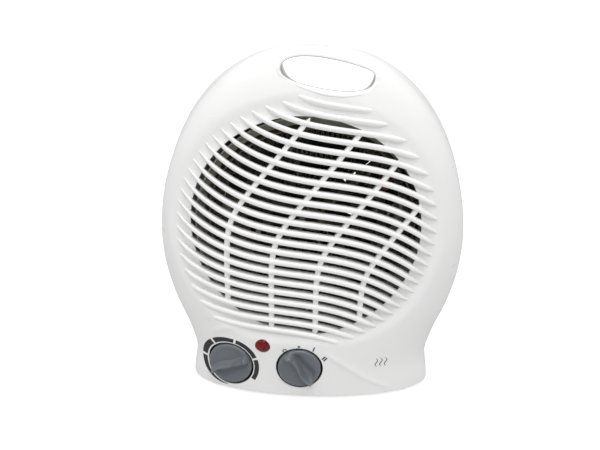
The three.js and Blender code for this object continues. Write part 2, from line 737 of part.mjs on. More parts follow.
const WIRE_R = 1.3;
const WIRES = {
  wire_supply: [[20, 29, 18], [20, 14, 12], [10, -10, 12], [-6, -26, 16], [-7, -31, 20]],
  wire_thermostat: [[-20.5, -40, 24], [-25, -38, 22], [-32, -36, 21], [-38, -36, 22], [-41, -37, 23]],
  wire_heater: [[-8, -40, 41.5], [-7, -37, 46], [-5, -32, 51], [-3, -27, 56], [-2, -23.5, 61]],
};

function wire(points) {
  const path = new THREE.CatmullRomCurve3(points.map((p) => V(...p)));
  const section = new THREE.Shape();
  section.absarc(0, 0, WIRE_R, 0, 2 * Math.PI);
  return solid(new THREE.ExtrudeGeometry(section, { steps: 8, extrudePath: path, curveSegments: 3 }));
}

// ---- Assembly --------------------------------------------------------------------------------------

const heater = new THREE.Group();
heater.position.y = CENTRE_Y;

function add(name, shape, material) {
  const mesh = new THREE.Mesh(toGeometry(shape), material);
  mesh.name = name;
  heater.add(mesh);
}

add('front_shell', frontShell(), WHITE);
add('front_grille', frontGrille(), WHITE);
add('rear_shell', rearShell(), WHITE);
add('rear_guard', rearGuard(), WHITE);
add('air_duct', duct(), SHEET);
add('motor_bracket', motorBracket(), ZINC);
add('motor_stack', motorStack(), STEEL);
add('motor_coil', motorCoil(), COPPER);
add('bearing_bridge_front', bearingBridge(-1), ZINC);
add('bearing_bridge_rear', bearingBridge(1), ZINC);
add('motor_rotor', rotor(), STEEL);
add('motor_spindle', spindle(), STEEL);
add('impeller', impeller(), BLACK);
add('heater_frame', heaterFrame(), MICA);
RIBBON_RADII.forEach((radius, i) => add(`heating_ribbon_${i + 1}`, ribbon(radius), NICHROME));
add('thermal_cutout', besideHeater(CUTOUT), PHENOLIC);
add('thermal_fuse', besideHeater(FUSE), CERAMIC);
add('selector_knob', knob(SELECTOR, -41), SLATE);
add('selector_shaft', shaftFor(SELECTOR), ZINC);
add('selector_switch', switchBody(SELECTOR, 24, 16), BLACK);
add('thermostat_knob', knob(THERMOSTAT, 69), SLATE);
add('thermostat_shaft', shaftFor(THERMOSTAT), ZINC);
add('thermostat_body', thermostatBody(THERMOSTAT, 12, 14), CERAMIC);
add('lamp_lens', lampLens(), RED);
add('lamp_body', lampBody(), CERAMIC);
add('terminal_block', terminalBlock(), CERAMIC);
add('cord_bush', cordBush(), BLACK);
Object.entries(WIRES).forEach(([name, points]) => add(name, wire(points), BLACK));
BRACKET_POSTS.forEach((degrees, i) => add(`bracket_screw_${i + 1}`, bracketScrew(degrees), ZINC));
SCREW_POINTS.forEach((point, i) => add(`case_screw_${i + 1}`, screw(point), ZINC));
FOOT_POINTS.forEach((point, i) => add(`foot_${i + 1}`, foot(point), RUBBER));

export default heater;
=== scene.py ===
# %% [markdown]
# # An upright fan convector heater
# A glossy white casing in two halves stands on four rubber feet. Its front has a round outlet
# crossed by wavy bars, a carrying hole near the top, two slate knobs and a small red lamp.
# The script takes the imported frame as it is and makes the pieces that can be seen. Lengths are
# in millimetres in the formulas and become metres when a mesh is laid.

# %% Load the frame
import math

import bpy
import numpy as np
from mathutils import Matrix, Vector


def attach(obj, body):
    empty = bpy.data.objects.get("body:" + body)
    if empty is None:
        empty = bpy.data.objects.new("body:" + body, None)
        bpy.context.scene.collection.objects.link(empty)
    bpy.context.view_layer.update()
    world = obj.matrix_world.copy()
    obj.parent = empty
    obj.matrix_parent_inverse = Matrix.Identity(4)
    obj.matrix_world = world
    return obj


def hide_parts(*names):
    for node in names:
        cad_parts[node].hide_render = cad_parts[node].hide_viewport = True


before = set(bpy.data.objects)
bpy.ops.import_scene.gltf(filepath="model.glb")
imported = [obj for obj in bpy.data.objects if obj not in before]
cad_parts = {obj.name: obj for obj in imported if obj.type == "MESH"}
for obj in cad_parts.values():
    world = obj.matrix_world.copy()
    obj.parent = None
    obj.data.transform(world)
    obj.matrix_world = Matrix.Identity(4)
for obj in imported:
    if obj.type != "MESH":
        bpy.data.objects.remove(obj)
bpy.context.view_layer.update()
bpy.ops.object.select_all(action="DESELECT")
MM = 0.001

# %% [markdown]
# ## Camera, floor and light
# The heater is seen from a little above, as it would be on the floor of a studio. The camera
# looks down 33 degrees from 0.8 m. One broad lamp hangs over it, two weak ones fill the sides,
# and an even surround keeps the white casing soft. The surround and the floor are made brighter
# for the camera than for the heater, so the ground stays white while the casing keeps its shading.

# %% Camera
TARGET = Vector((-9.3, 4.2, 114)) * MM
CAMERA_TURN = math.radians(2.5)
CAMERA_RISE = math.radians(33)
CAMERA_DISTANCE = 0.8
FOCAL_LENGTH = 65.28


def camera_place():
    flat = math.cos(CAMERA_RISE)
    away = Vector((math.sin(CAMERA_TURN) * flat, -math.cos(CAMERA_TURN) * flat, math.sin(CAMERA_RISE)))
    return TARGET + away * CAMERA_DISTANCE


bpy.ops.object.camera_add(location=camera_place())
camera = bpy.context.object
camera.rotation_euler = (TARGET - camera.location).to_track_quat("-Z", "Y").to_euler()
camera.data.sensor_width = 36
camera.data.lens = FOCAL_LENGTH
bpy.context.scene.camera = camera
print("camera at", [round(c, 3) for c in camera.location])

# %% Floor, surround and lamps
bpy.ops.mesh.primitive_plane_add(size=14)
floor = bpy.context.object
floor.name = "studio_floor"
LAMPS_AIM = Vector((0, 0, 0.12))
SURROUND_LIGHT, SURROUND_SEEN = 0.70, 1.2


def area_lamp(name, place, size, power):
    bpy.ops.object.light_add(type="AREA", location=place)
    lamp = bpy.context.object
    lamp.name = name
    lamp.data.size = size
    lamp.data.energy = power
    lamp.rotation_euler = (LAMPS_AIM - lamp.location).to_track_quat("-Z", "Y").to_euler()
    return lamp


area_lamp("overhead_softbox", (0.05, -0.4, 1.4), 1.0, 11.5)
area_lamp("left_fill", (-1.2, -0.5, 1.1), 0.9, 1.6)
area_lamp("right_fill", (1.2, -0.4, 1.1), 0.9, 0.9)

world = bpy.data.worlds.new("studio_surround")
world.use_nodes = True
surround = world.node_tree
seen_directly = surround.nodes.new("ShaderNodeLightPath").outputs["Is Camera Ray"]
glow = surround.nodes.new("ShaderNodeMapRange")
glow.inputs["To Min"].default_value = SURROUND_LIGHT
glow.inputs["To Max"].default_value = SURROUND_SEEN
surround.links.new(seen_directly, glow.inputs["Value"])
surround.nodes["Background"].inputs["Color"].default_value = (1, 1, 1, 1)
surround.links.new(glow.outputs["Result"], surround.nodes["Background"].inputs["Strength"])
bpy.context.scene.world = world
bpy.context.scene.view_settings.view_transform = "Standard"

# %% [markdown]
# ## Shared shader effects
# Every moulded or pressed piece shows the same few things: a fine grain, a slow drift of tone,
# pale edges, which are rubbed wear and a painted highlight on the crests at once, and a little
# dust where it faces up. Each effect is one node group, built once and placed in each material
# with its own values, so that a change is made in one place.

# %% Helpers for nodes


def node(tree, kind, values=None, **settings):
    made = tree.nodes.new("ShaderNode" + kind)
    for key, value in settings.items():
        setattr(made, key, value)
    for key, value in (values or {}).items():
        made.inputs[key].default_value = value
    return made


def wire(tree, *pairs):
    for source, target in pairs:
        tree.links.new(source, target)


def effect(name, inputs, outputs):
    tree = bpy.data.node_groups.new(name, "ShaderNodeTree")
    for label, kind, value in inputs:
        socket = tree.interface.new_socket(label, in_out="INPUT", socket_type=kind)
        if value is not None:
            socket.default_value = value
    for label, kind in outputs:
        tree.interface.new_socket(label, in_out="OUTPUT", socket_type=kind)
    return tree, tree.nodes.new("NodeGroupInput"), tree.nodes.new("NodeGroupOutput")


VALUE, VECTOR = "NodeSocketFloat", "NodeSocketVector"

# %% Moulded grain: a height from fine pits on a slow swell
grain_tree, given, out = effect(
    "moulded_grain",
    [("Vector", VECTOR, None), ("Pit Scale", VALUE, 2600.0), ("Swell Scale", VALUE, 45.0),
     ("Swell", VALUE, 0.5)],
    [("Height", VALUE), ("Tone", VALUE)],
)
pits = node(grain_tree, "TexNoise", {"Detail": 2.0})
swell = node(grain_tree, "TexNoise", {"Detail": 1.0})
mixed = node(grain_tree, "Mix", data_type="FLOAT")
wire(
    grain_tree,
    (given.outputs["Vector"], pits.inputs["Vector"]), (given.outputs["Pit Scale"], pits.inputs["Scale"]),
    (given.outputs["Vector"], swell.inputs["Vector"]),
    (given.outputs["Swell Scale"], swell.inputs["Scale"]),
    (given.outputs["Swell"], mixed.inputs["Factor"]),
    (pits.outputs["Fac"], mixed.inputs["A"]), (swell.outputs["Fac"], mixed.inputs["B"]),
    (mixed.outputs["Result"], out.inputs["Height"]), (swell.outputs["Fac"], out.inputs["Tone"]),
)

# %% A patchy mask, for the two effects that sit on part of a surface


def patchy_mask(name, amount, patches, part_of_surface):
    """The mask is part_of_surface(tree), broken up by a noise and scaled by Amount."""
    inputs = [("Vector", VECTOR, None), ("Amount", VALUE, amount)]
    tree, given, out = effect(name, inputs, [("Mask", VALUE)])
    noise = node(tree, "TexNoise", patches)
    broken = node(tree, "Math", operation="MULTIPLY")
    scaled = node(tree, "Math", operation="MULTIPLY", use_clamp=True)
    wire(
        tree,
        (given.outputs["Vector"], noise.inputs["Vector"]),
        (part_of_surface(tree), broken.inputs[0]), (noise.outputs["Fac"], broken.inputs[1]),
        (broken.outputs["Value"], scaled.inputs[0]), (given.outputs["Amount"], scaled.inputs[1]),
        (scaled.outputs["Value"], out.inputs["Mask"]),
    )
    return tree


def convex_edges(tree):
    edge = node(tree, "MapRange", {"From Min": 0.52, "From Max": 0.62})
    wire(tree, (node(tree, "NewGeometry").outputs["Pointiness"], edge.inputs["Value"]))
    return edge.outputs["Result"]


def faces_up(tree):
    parts = node(tree, "SeparateXYZ")
    upward = node(tree, "MapRange", {"From Min": 0.55, "From Max": 1.0})
    wire(tree, (node(tree, "NewGeometry").outputs["Normal"], parts.inputs["Vector"]),
         (parts.outputs["Z"], upward.inputs["Value"]))
    return upward.outputs["Result"]


# Pale convex edges: partly rubbed wear, partly a painted highlight on crests.
edge_wear_and_highlight_tree = patchy_mask("rubbed_edges_and_painted_highlight", 0.5, {"Scale": 160.0, "Detail": 4.0}, convex_edges)
dust_tree = patchy_mask("settled_dust", 0.3, {"Scale": 900.0, "Detail": 5.0, "Roughness": 0.7}, faces_up)
print("effects", [g.name for g in bpy.data.node_groups])

# %% [markdown]
# ## Materials
# Most pieces are a moulded plastic or a plain metal, so one builder makes them all: two tones
# that drift into each other, a roughness that drifts with them, grain through a bump, pale
# edges that are wear and painted highlight together, and dust on top. Metals differ in their
# pattern, which replaces the drift.

# %% The builder
DUST_COLOUR = (0.62, 0.60, 0.57, 1)


def effect_node(tree, group_tree, vector, **values):
    made = node(tree, "Group", node_tree=group_tree)
    for key, value in values.items():
        made.inputs[key.replace("_", " ")].default_value = value
    tree.links.new(vector, made.inputs["Vector"])
    return made


def blended(tree, factor, first, second):
    mix = node(tree, "Mix", data_type="RGBA")
    tree.links.new(factor, mix.inputs["Factor"])
    for socket, value in ((6, first), (7, second)):
        if isinstance(value, tuple):
            mix.inputs[socket].default_value = value
        else:
            tree.links.new(value, mix.inputs[socket])
    return mix.outputs[2]


def finish(name, tones, roughness, metallic=0.0, pit_scale=2600.0, swell=0.5, bump=0.05, edge_wear_and_highlight=0.0,
           dust=0.0, coat=0.0, pattern=None):
    """tones is two colours, roughness two values, and pattern a texture node's kind and values."""
    material = bpy.data.materials.new(name)
    material.use_nodes = True
    tree = material.node_tree
    shader = tree.nodes["Principled BSDF"]
    place = node(tree, "TexCoord").outputs["Object"]
    grain = effect_node(tree, grain_tree, place, Pit_Scale=pit_scale, Swell=swell)
    tone = grain.outputs["Tone"]
    height = grain.outputs["Height"]
    if pattern:
        kind, values, output, settings = pattern
        texture = node(tree, kind, values, **settings)
        tree.links.new(place, texture.inputs["Vector"])
        tone = texture.outputs[output]
        height = texture.outputs[output]
    ramp = node(tree, "MapRange", {"To Min": roughness[0], "To Max": roughness[1]})
    tree.links.new(tone, ramp.inputs["Value"])
    tree.links.new(ramp.outputs["Result"], shader.inputs["Roughness"])
    colour = blended(tree, tone, tones[0] + (1,), tones[1] + (1,))
    # Convex edges turn paler: partly rubbed wear, partly a painted highlight on the crests of knobs and
    # bars.
    if edge_wear_and_highlight:
        mask = effect_node(tree, edge_wear_and_highlight_tree, place, Amount=edge_wear_and_highlight).outputs["Mask"]
        pale_edge_and_highlight = tuple(min(1.0, c * 1.35 + 0.05) for c in tones[1]) + (1,)
        colour = blended(tree, mask, colour, pale_edge_and_highlight)
    if dust:
        mask = effect_node(tree, dust_tree, place, Amount=dust).outputs["Mask"]
        colour = blended(tree, mask, colour, DUST_COLOUR)
    tree.links.new(colour, shader.inputs["Base Color"])
    shader.inputs["Metallic"].default_value = metallic
    shader.inputs["Coat Weight"].default_value = coat
    relief = node(tree, "Bump", {"Strength": bump, "Distance": 0.0004})
    tree.links.new(height, relief.inputs["Height"])
    tree.links.new(relief.outputs["Normal"], shader.inputs["Normal"])
    return material


# %% The finishes of this heater
CASING = finish("glossy_white_abs", ((0.795, 0.795, 0.79), (0.81, 0.81, 0.805)), (0.26, 0.31),
                swell=0.6, bump=0.02, edge_wear_and_highlight=0.1, dust=0.02)
BARS = finish("outlet_white_abs", ((0.83, 0.83, 0.82), (0.85, 0.85, 0.84)), (0.3, 0.36),
              swell=0.6, bump=0.02, edge_wear_and_highlight=0.2)
# Painted shade: a grey copy of the white casing for the finger hole's inner wall, standing in for the
# shadow line at its edge.
HOLE_WALL_SHADE = finish("painted_shade_inner_abs", ((0.36, 0.36, 0.355), (0.42, 0.42, 0.415)), (0.45, 0.55),
                 bump=0.02)
RIBS = finish("shaded_white_abs", ((0.81, 0.81, 0.80), (0.83, 0.83, 0.82)), (0.36, 0.44), bump=0.02)
SLATE = finish("satin_slate_plastic", ((0.115, 0.13, 0.145), (0.135, 0.15, 0.165)), (0.36, 0.46),
               pit_scale=4200.0, swell=0.3, bump=0.12, edge_wear_and_highlight=0.5, dust=0.05)
BLACK = finish("matt_black_plastic", ((0.012, 0.012, 0.013), (0.02, 0.02, 0.021)), (0.45, 0.6),
               pit_scale=3000.0, swell=0.35, bump=0.15, dust=0.08)
INK = finish("charcoal_ink", ((0.012, 0.013, 0.016), (0.02, 0.021, 0.025)), (0.55, 0.65), bump=0.02)
RUBBER = finish("grey_rubber", ((0.16, 0.16, 0.165), (0.2, 0.2, 0.205)), (0.7, 0.85), bump=0.25,
                pit_scale=1800.0, dust=0.2)
CERAMIC = finish("cream_ceramic", ((0.74, 0.71, 0.64), (0.8, 0.77, 0.7)), (0.45, 0.6), bump=0.08)
PHENOLIC = finish("brown_phenolic", ((0.16, 0.05, 0.03), (0.22, 0.07, 0.04)), (0.4, 0.55), bump=0.1)
SLEEVE = finish("pale_wire_sleeve", ((0.66, 0.66, 0.68), (0.74, 0.74, 0.76)), (0.5, 0.6), bump=0.08)
SPANGLE = ("TexVoronoi", {"Scale": 160.0, "Randomness": 1.0}, "Distance", {"feature": "F1"})
SHEET = finish("zinc_coated_duct", ((0.34, 0.33, 0.28), (0.46, 0.45, 0.40)), (0.42, 0.62), metallic=0.3,
               bump=0.05, dust=0.1, pattern=SPANGLE)
PLATE = finish("zinc_plated_steel", ((0.46, 0.46, 0.45), (0.6, 0.6, 0.58)), (0.3, 0.45), metallic=1.0,
               bump=0.04, pattern=SPANGLE)
LAYERS = ("TexWave", {"Scale": 320.0, "Distortion": 0.4, "Detail": 1.0}, "Fac", {"bands_direction": "Y"})
STACK = finish("laminated_motor_steel", ((0.2, 0.2, 0.21), (0.46, 0.46, 0.47)), (0.35, 0.5), metallic=1.0,
               bump=0.3, pattern=LAYERS)
TURNS = ("TexWave", {"Scale": 460.0, "Distortion": 1.2, "Detail": 1.0}, "Fac", {"bands_direction": "X"})
COPPER = finish("enamelled_copper", ((0.30, 0.10, 0.04), (0.62, 0.27, 0.12)), (0.3, 0.4), metallic=0.9,
                bump=0.6, pattern=TURNS)
# The mica boards and the ribbons below are darkened far below their own pale colour: painted shade for the
# dark inside of the duct.
FLAKES = ("TexVoronoi", {"Scale": 420.0, "Randomness": 1.0}, "Distance", {"feature": "F1"})
MICA_PAINTED_SHADE = finish("mica_board", ((0.10, 0.085, 0.06), (0.2, 0.175, 0.13)), (0.35, 0.55), bump=0.1,
              pattern=FLAKES)
SCALE_BLOOM = ("TexNoise", {"Scale": 220.0, "Detail": 5.0}, "Fac", {})
RIBBON_PAINTED_SHADE = finish("ribbon_in_painted_shade", ((0.10, 0.09, 0.075), (0.30, 0.28, 0.25)), (0.4, 0.6), metallic=0.6,
                  bump=0.1, pattern=SCALE_BLOOM)

# %% The floor's paint
FLOOR_GLOW = 0.7
FLOOR_PAINT = finish("pale_floor", ((0.60, 0.60, 0.60), (0.62, 0.62, 0.62)), (0.6, 0.7), bump=0.0)
floor_tree = FLOOR_PAINT.node_tree
floor_shader = floor_tree.nodes["Principled BSDF"]
for_the_camera = node(floor_tree, "LightPath").outputs["Is Camera Ray"]
floor_glow = blended(floor_tree, for_the_camera, (0, 0, 0, 1), (1, 1, 1, 1))
wire(floor_tree, (floor_glow, floor_shader.inputs["Emission Color"]))
floor_shader.inputs["Emission Strength"].default_value = FLOOR_GLOW
floor.data.materials.append(FLOOR_PAINT)

# %% [markdown]
# ### The lamp's lens
# The lens is clear red plastic with a cut back, dark in some facets and bright in others. The
# light and shade in the facets are painted: a pattern of cells stands for the facets, and each
# cell gets its own red, between a painted shaded red and a painted glint. A little transmission
# and a low index keep the surface from turning white.

# %% Red lens
# The two reds that the facet cells choose between: a painted shaded red and a painted glint.
LENS_PAINTED_SHADE, LENS_PAINTED_GLINT = (0.06, 0.001, 0.001, 1), (0.27, 0.003, 0.002, 1)
LENS = bpy.data.materials.new("clear_red_lens")
LENS.use_nodes = True
lens_tree = LENS.node_tree
lens_shader = lens_tree.nodes["Principled BSDF"]
facet_glint_cells = node(lens_tree, "TexVoronoi", {"Scale": 420.0, "Randomness": 0.7}, feature="F1")
lens_parts = node(lens_tree, "SeparateColor")
lens_red_and_glints = blended(lens_tree, lens_parts.outputs["Red"], LENS_PAINTED_SHADE, LENS_PAINTED_GLINT)
wire(
    lens_tree,
    (node(lens_tree, "TexCoord").outputs["Object"], facet_glint_cells.inputs["Vector"]),
    (facet_glint_cells.outputs["Color"], lens_parts.inputs["Color"]),
    (lens_red_and_glints, lens_shader.inputs["Base Color"]),
)
lens_shader.inputs["Roughness"].default_value = 0.12
lens_shader.inputs["Transmission Weight"].default_value = 0.1
lens_shader.inputs["IOR"].default_value = 1.38
print("materials", len(bpy.data.materials))

# %% [markdown]
# ## Tools for making meshes
# The casing is one flowing surface with no flat face to push and pull, so its points are laid by
# formula: a grid primitive is added, each of its points is moved to its place, and the seam and
# poles are merged in edit mode. A turned piece is the same grid wrapped round an axis.

# %% Choosing, welding and applying


def choose(obj):
    bpy.ops.object.select_all(action="DESELECT")
    obj.select_set(True)
    bpy.context.view_layer.objects.active = obj


def welded(obj, towards=None):
    """Merges doubles and points the faces outwards, or towards a direction on an open sheet."""
    choose(obj)
    bpy.ops.object.mode_set(mode="EDIT")
    bpy.ops.mesh.select_all(action="SELECT")
    bpy.ops.mesh.remove_doubles(threshold=2e-6)
    bpy.ops.mesh.normals_make_consistent(inside=False)
    bpy.ops.object.mode_set(mode="OBJECT")
    if towards is not None:
        lean = sum((p.normal * p.area for p in obj.data.polygons), Vector())
        if lean.dot(Vector(towards)) < 0:
            bpy.ops.object.mode_set(mode="EDIT")
            bpy.ops.mesh.select_all(action="SELECT")
            bpy.ops.mesh.flip_normals()
            bpy.ops.object.mode_set(mode="OBJECT")
    return obj


def with_modifier(obj, kind, **settings):
    choose(obj)
    modifier = obj.modifiers.new(kind.title(), kind)
    for key, value in settings.items():
        setattr(modifier, key, value)
    bpy.ops.object.modifier_apply(modifier=modifier.name)
    return obj


def smooth(obj, degrees=35):
    choose(obj)
    bpy.ops.object.shade_smooth_by_angle(angle=math.radians(degrees))
    return obj


def joined(name, objs):
    choose(objs[0])
    for obj in objs:
        obj.select_set(True)
    bpy.ops.object.join()
    objs[0].name = objs[0].data.name = name
    return objs[0]


def piece(obj, material, body, stands_for=()):
    obj.data.materials.clear()
    obj.data.materials.append(material)
    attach(obj, body)
    if stands_for:
        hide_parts(*stands_for)
    print(obj.name, "faces", len(obj.data.polygons))
    return obj


# %% A grid laid by formula, and a profile turned round an axis


def laid(name, columns, rows, place, towards=None):
    """place takes each point's share along the columns and its row number, and gives x, y, z."""
    bpy.ops.object.select_all(action="DESELECT")
    bpy.ops.mesh.primitive_grid_add(x_subdivisions=columns, y_subdivisions=rows, size=1)
    obj = bpy.context.object
    obj.name = obj.data.name = name
    flat = np.empty(len(obj.data.vertices) * 3)
    obj.data.vertices.foreach_get("co", flat)
    share = np.clip(flat.reshape(-1, 3) + 0.5, 0, 1)
    x, y, z = place(share[:, 0], np.rint(share[:, 1] * rows).astype(int))
    points = np.column_stack(np.broadcast_arrays(x, y, z)) * MM
    obj.data.vertices.foreach_set("co", points.ravel())
    obj.data.update()
    return welded(obj, towards)


def axes_of(outward):
    """Right, outward and up directions of a control, as arrays."""
    out = np.array(outward, float) / np.linalg.norm(outward)
    up_hint = np.array((0, 0, 1.0)) if abs(out[2]) < 0.9 else np.array((0, 1.0, 0))
    right = np.cross(up_hint, out)
    right /= np.linalg.norm(right)
    return right, out, np.cross(out, right)


def turned(name, profile, centre, outward, columns=64):
    """profile is a list of (radius, distance along outward) points."""
    radius, along = np.array(profile, float).T
    right, out, up = axes_of(outward)

    def place(share, row):
        a = 2 * np.pi * share
        ring = np.outer(np.sin(a), right) + np.outer(np.cos(a), up)
        points = np.array(centre) + ring * radius[row][:, None] + np.outer(along[row], out)
        return points.T

    return laid(name, columns, len(profile) - 1, place)


def rounded(points, radius, steps=4):
    """Rounds the corners of a profile of (radius, distance) points."""
    points = [np.array(p, float) for p in points]
    soft = [tuple(points[0])]
    for before, corner, after in zip(points, points[1:], points[2:]):
        a, b = before - corner, after - corner
        reach = min(radius, np.linalg.norm(a) / 2.01, np.linalg.norm(b) / 2.01)
        start = corner + a / np.linalg.norm(a) * reach
        end = corner + b / np.linalg.norm(b) * reach
        for i in range(steps + 1):
            t = i / steps
            soft.append(tuple((1 - t) ** 2 * start + 2 * t * (1 - t) * corner + t * t * end))
    soft.append(tuple(points[-1]))
    return soft


def meet(low, high, beyond):
    """Halves the span between low and high until beyond(distance) turns true there."""
    for _ in range(40):
        middle = (low + high) / 2
        past = beyond(middle)
        high = np.where(past, middle, high)
        low = np.where(past, low, middle)
    return (low + high) / 2


# %% [markdown]
# ## The shape of the casing
# The front is part of an ellipsoid above the widest height, and below it a shallow barrel that
# narrows to a neck and flares at the base. The back is squarer. The two halves meet on a plane
# that leans back as it rises. The same formulas place everything that sits on the casing.

# %% Surface formulas
SHIFT = 4.2
WIDEST_Z, TOP_Z, FLOOR_Z = 118.0, 258.0, 3.3
WIDEST_HALF = 108.0
PROFILE_Z = np.array([0, 12, 27, 45, 70, 95, WIDEST_Z])
PROFILE_W = np.array([88.4, 87.3, 85.5, 90, 99.7, 106, WIDEST_HALF])
PROFILE_SLOPE = np.gradient(PROFILE_W, PROFILE_Z)
PROFILE_SLOPE[-1] = 0
FRONT_BULGE, BASE_BULGE = 32.0, 28.0
BACK_Y, BACK_POWER, SQUARENESS = 62.0 + SHIFT, 0.8, 3.2
SEAM_GAP = 0.1


def seam_y(z):
    return -35 + SHIFT + 0.1317 * z


def dome(z):
    return 1 - np.clip((z - WIDEST_Z) / (TOP_Z - WIDEST_Z), 0, 1) ** 2


def lower_width(z):
    i = np.clip(np.searchsorted(PROFILE_Z, z) - 1, 0, len(PROFILE_Z) - 2)
    h = PROFILE_Z[i + 1] - PROFILE_Z[i]
    t = np.clip((z - PROFILE_Z[i]) / h, 0, 1)
    start, end = 1 - t * t * (3 - 2 * t), t * t * (3 - 2 * t)
    bend = h * (t * (1 - t) ** 2 * PROFILE_SLOPE[i] - t * t * (1 - t) * PROFILE_SLOPE[i + 1])
    return start * PROFILE_W[i] + end * PROFILE_W[i + 1] + bend


def half_width(z):
    return np.where(z >= WIDEST_Z, WIDEST_HALF * np.sqrt(dome(z)), lower_width(z))


def sideways(x, z):
    return np.minimum(np.abs(x) / np.maximum(half_width(z), 1e-6), 1)


def front_y(x, z):
    lower = BASE_BULGE + (FRONT_BULGE - BASE_BULGE) * z / WIDEST_Z
    bulge = np.where(z >= WIDEST_Z, FRONT_BULGE * np.sqrt(dome(z)), lower)
    return seam_y(z) - bulge * np.sqrt(1 - sideways(x, z) ** 2)


def back_y(x, z):
    bulge = np.where(z >= WIDEST_Z, (BACK_Y - seam_y(WIDEST_Z)) * dome(z) ** BACK_POWER, BACK_Y - seam_y(z))
    return seam_y(z) + bulge * (1 - sideways(x, z) ** SQUARENESS) ** (1 / SQUARENESS)


def outline(angle, centre_z, bottom):
    """Distance from (0, centre_z) to the casing's outline, by angle from straight up."""
    def outside(r):
        x, z = r * np.sin(angle), centre_z + r * np.cos(angle)
        return (z < bottom) | (z > TOP_Z) | (np.abs(x) > half_width(z))
    return meet(np.full_like(angle, 40.0), np.full_like(angle, 220.0), outside)


# %% Handle hole and control places
HANDLE_X, HANDLE_Z, HANDLE_HALF, HANDLE_RISE = 9.7, 243.0, 31.0, 8.5
HANDLE_TILT = math.radians(-5.2)
HANDLE_FRONT = -21.0 + SHIFT
HOLE_FALL, HOLE_FLARE = 0.49, 0.06
LIP, LIP_CUT = 2.8, 2.4


def handle_ring(turn, grow, y):
    """A point on the finger hole's outline, grown by grow, at depth y. Its floor falls backwards."""
    behind = np.maximum(y - HANDLE_FRONT, 0)
    side = np.where(np.sin(turn) < 0, -1, 1)
    along = (HANDLE_HALF + grow + behind * HOLE_FLARE) * np.cos(turn)
    across = (HANDLE_RISE + grow) * np.sin(turn) * (1 - 0.25 * np.cos(turn) * side)
    fall = behind * HOLE_FALL * (1 - (1 - np.maximum(-np.sin(turn), 0)) ** 3)
    x = HANDLE_X + along * math.cos(HANDLE_TILT) - across * math.sin(HANDLE_TILT)
    z = HANDLE_Z + along * math.sin(HANDLE_TILT) + across * math.cos(HANDLE_TILT) - fall
    return x, z


def outward_of(turn, lean):
    a, b = math.radians(turn), math.radians(lean)
    return np.array((math.sin(a) * math.cos(b), -math.cos(a) * math.cos(b), math.sin(b)))


def panel_point(x, z):
    return np.array((x, float(front_y(np.float64(x), np.float64(z))), z))


CONTROLS = {
    "selector": {"centre": panel_point(-7.2, 28.2), "outward": outward_of(0, 5), "pointer": -41,
                 "size": 1.0},
    "thermostat": {"centre": panel_point(-58.5, 25.0), "outward": outward_of(-13, 6), "pointer": 54,
                   "size": 1.05},
}
WELL_R = 17.2
LAMP_X, LAMP_Z, LAMP_R = -33.8, 44.7, 5.0


def on_panel(centre, outward, radius, clock, lift=0.0):
    """Points round a control, seen from the front, dropped along its axis onto the panel."""
    right, out, up = axes_of(outward)
    ring = np.outer(radius * np.sin(clock), right) + np.outer(radius * np.cos(clock), up) + centre

    def in_front(s):
        p = ring + s[:, None] * out
        return p[:, 1] < front_y(p[:, 0], p[:, 2])

    s = meet(np.full(len(ring), -15.0), np.full(len(ring), 15.0), in_front)
    return ring + (s + lift)[:, None] * out


# %% [markdown]
# ## The front half of the casing
# A grid is laid between the round outlet and the outline. Round the outlet it dips into a soft
# dish, so that the bars can rise out of it and fade away, and faint creases bound the control
# panel. Both edges are rolled. Solidify gives the wall, and the holes are cut with booleans.

# %% Front shell surface
OUTLET_Z = 134.0
OPENING_X, OPENING_Z, OPENING_R = -4.0, 136.0, 80.5
EDGE = 0.7
FRONT_COLUMNS, FRONT_ROWS, ROLL_ROWS = 440, 76, 3
WALL = 2.4
DISH_X, DISH_Z, DISH_R, DISH_RUN, DISH_DEPTH = -3.5, 134.5, 99.5, 15.0, 3.6


def dish(x, z):
    """How far the surface sinks round the outlet. The dish is narrower above the control panel."""
    away = np.hypot(x - DISH_X, z - DISH_Z)
    low = np.maximum(-(z - DISH_Z) / np.maximum(away, 1), 0)
    s = np.clip((DISH_R - 12 * low ** 8 - away) / DISH_RUN, 0, 1)
    return DISH_DEPTH * s * s * (3 - 2 * s)


CREASES = [
    np.array([(8, 43.5), (12.9, 40.2), (28.4, 28.3), (42.7, 17.4), (54.8, 10.4), (62, 6)]),
    np.array([(-76, 46), (-70, 51.5), (-63, 55.5), (-55, 58.2), (-46, 59.3), (-36, 58.5)]),
]


def crease(x, z):
    """Height of the faint ridges that bound the panel."""
    height = 0
    for line in CREASES:
        first, last = line[0, 0], line[-1, 0]
        off = (z - np.interp(x, line[:, 0], line[:, 1])) * 0.8
        fade = np.clip((x - first) / 8, 0, 1) * np.clip((last - x) / 8, 0, 1)
        height = height + 0.75 * fade / (1 + (off / 1.3) ** 2)
    return height


def opening_reach(angle):
    """Distance from the grid's centre to the edge of the opening, which is a little off centre."""
    dx, dz = OPENING_X, OPENING_Z - OUTLET_Z
    towards = dx * np.sin(angle) + dz * np.cos(angle)
    return towards + np.sqrt(OPENING_R ** 2 - dx ** 2 - dz ** 2 + towards ** 2)


def in_opening(x, z, grow):
    return np.hypot(x - OPENING_X, z - OPENING_Z) < OPENING_R + grow


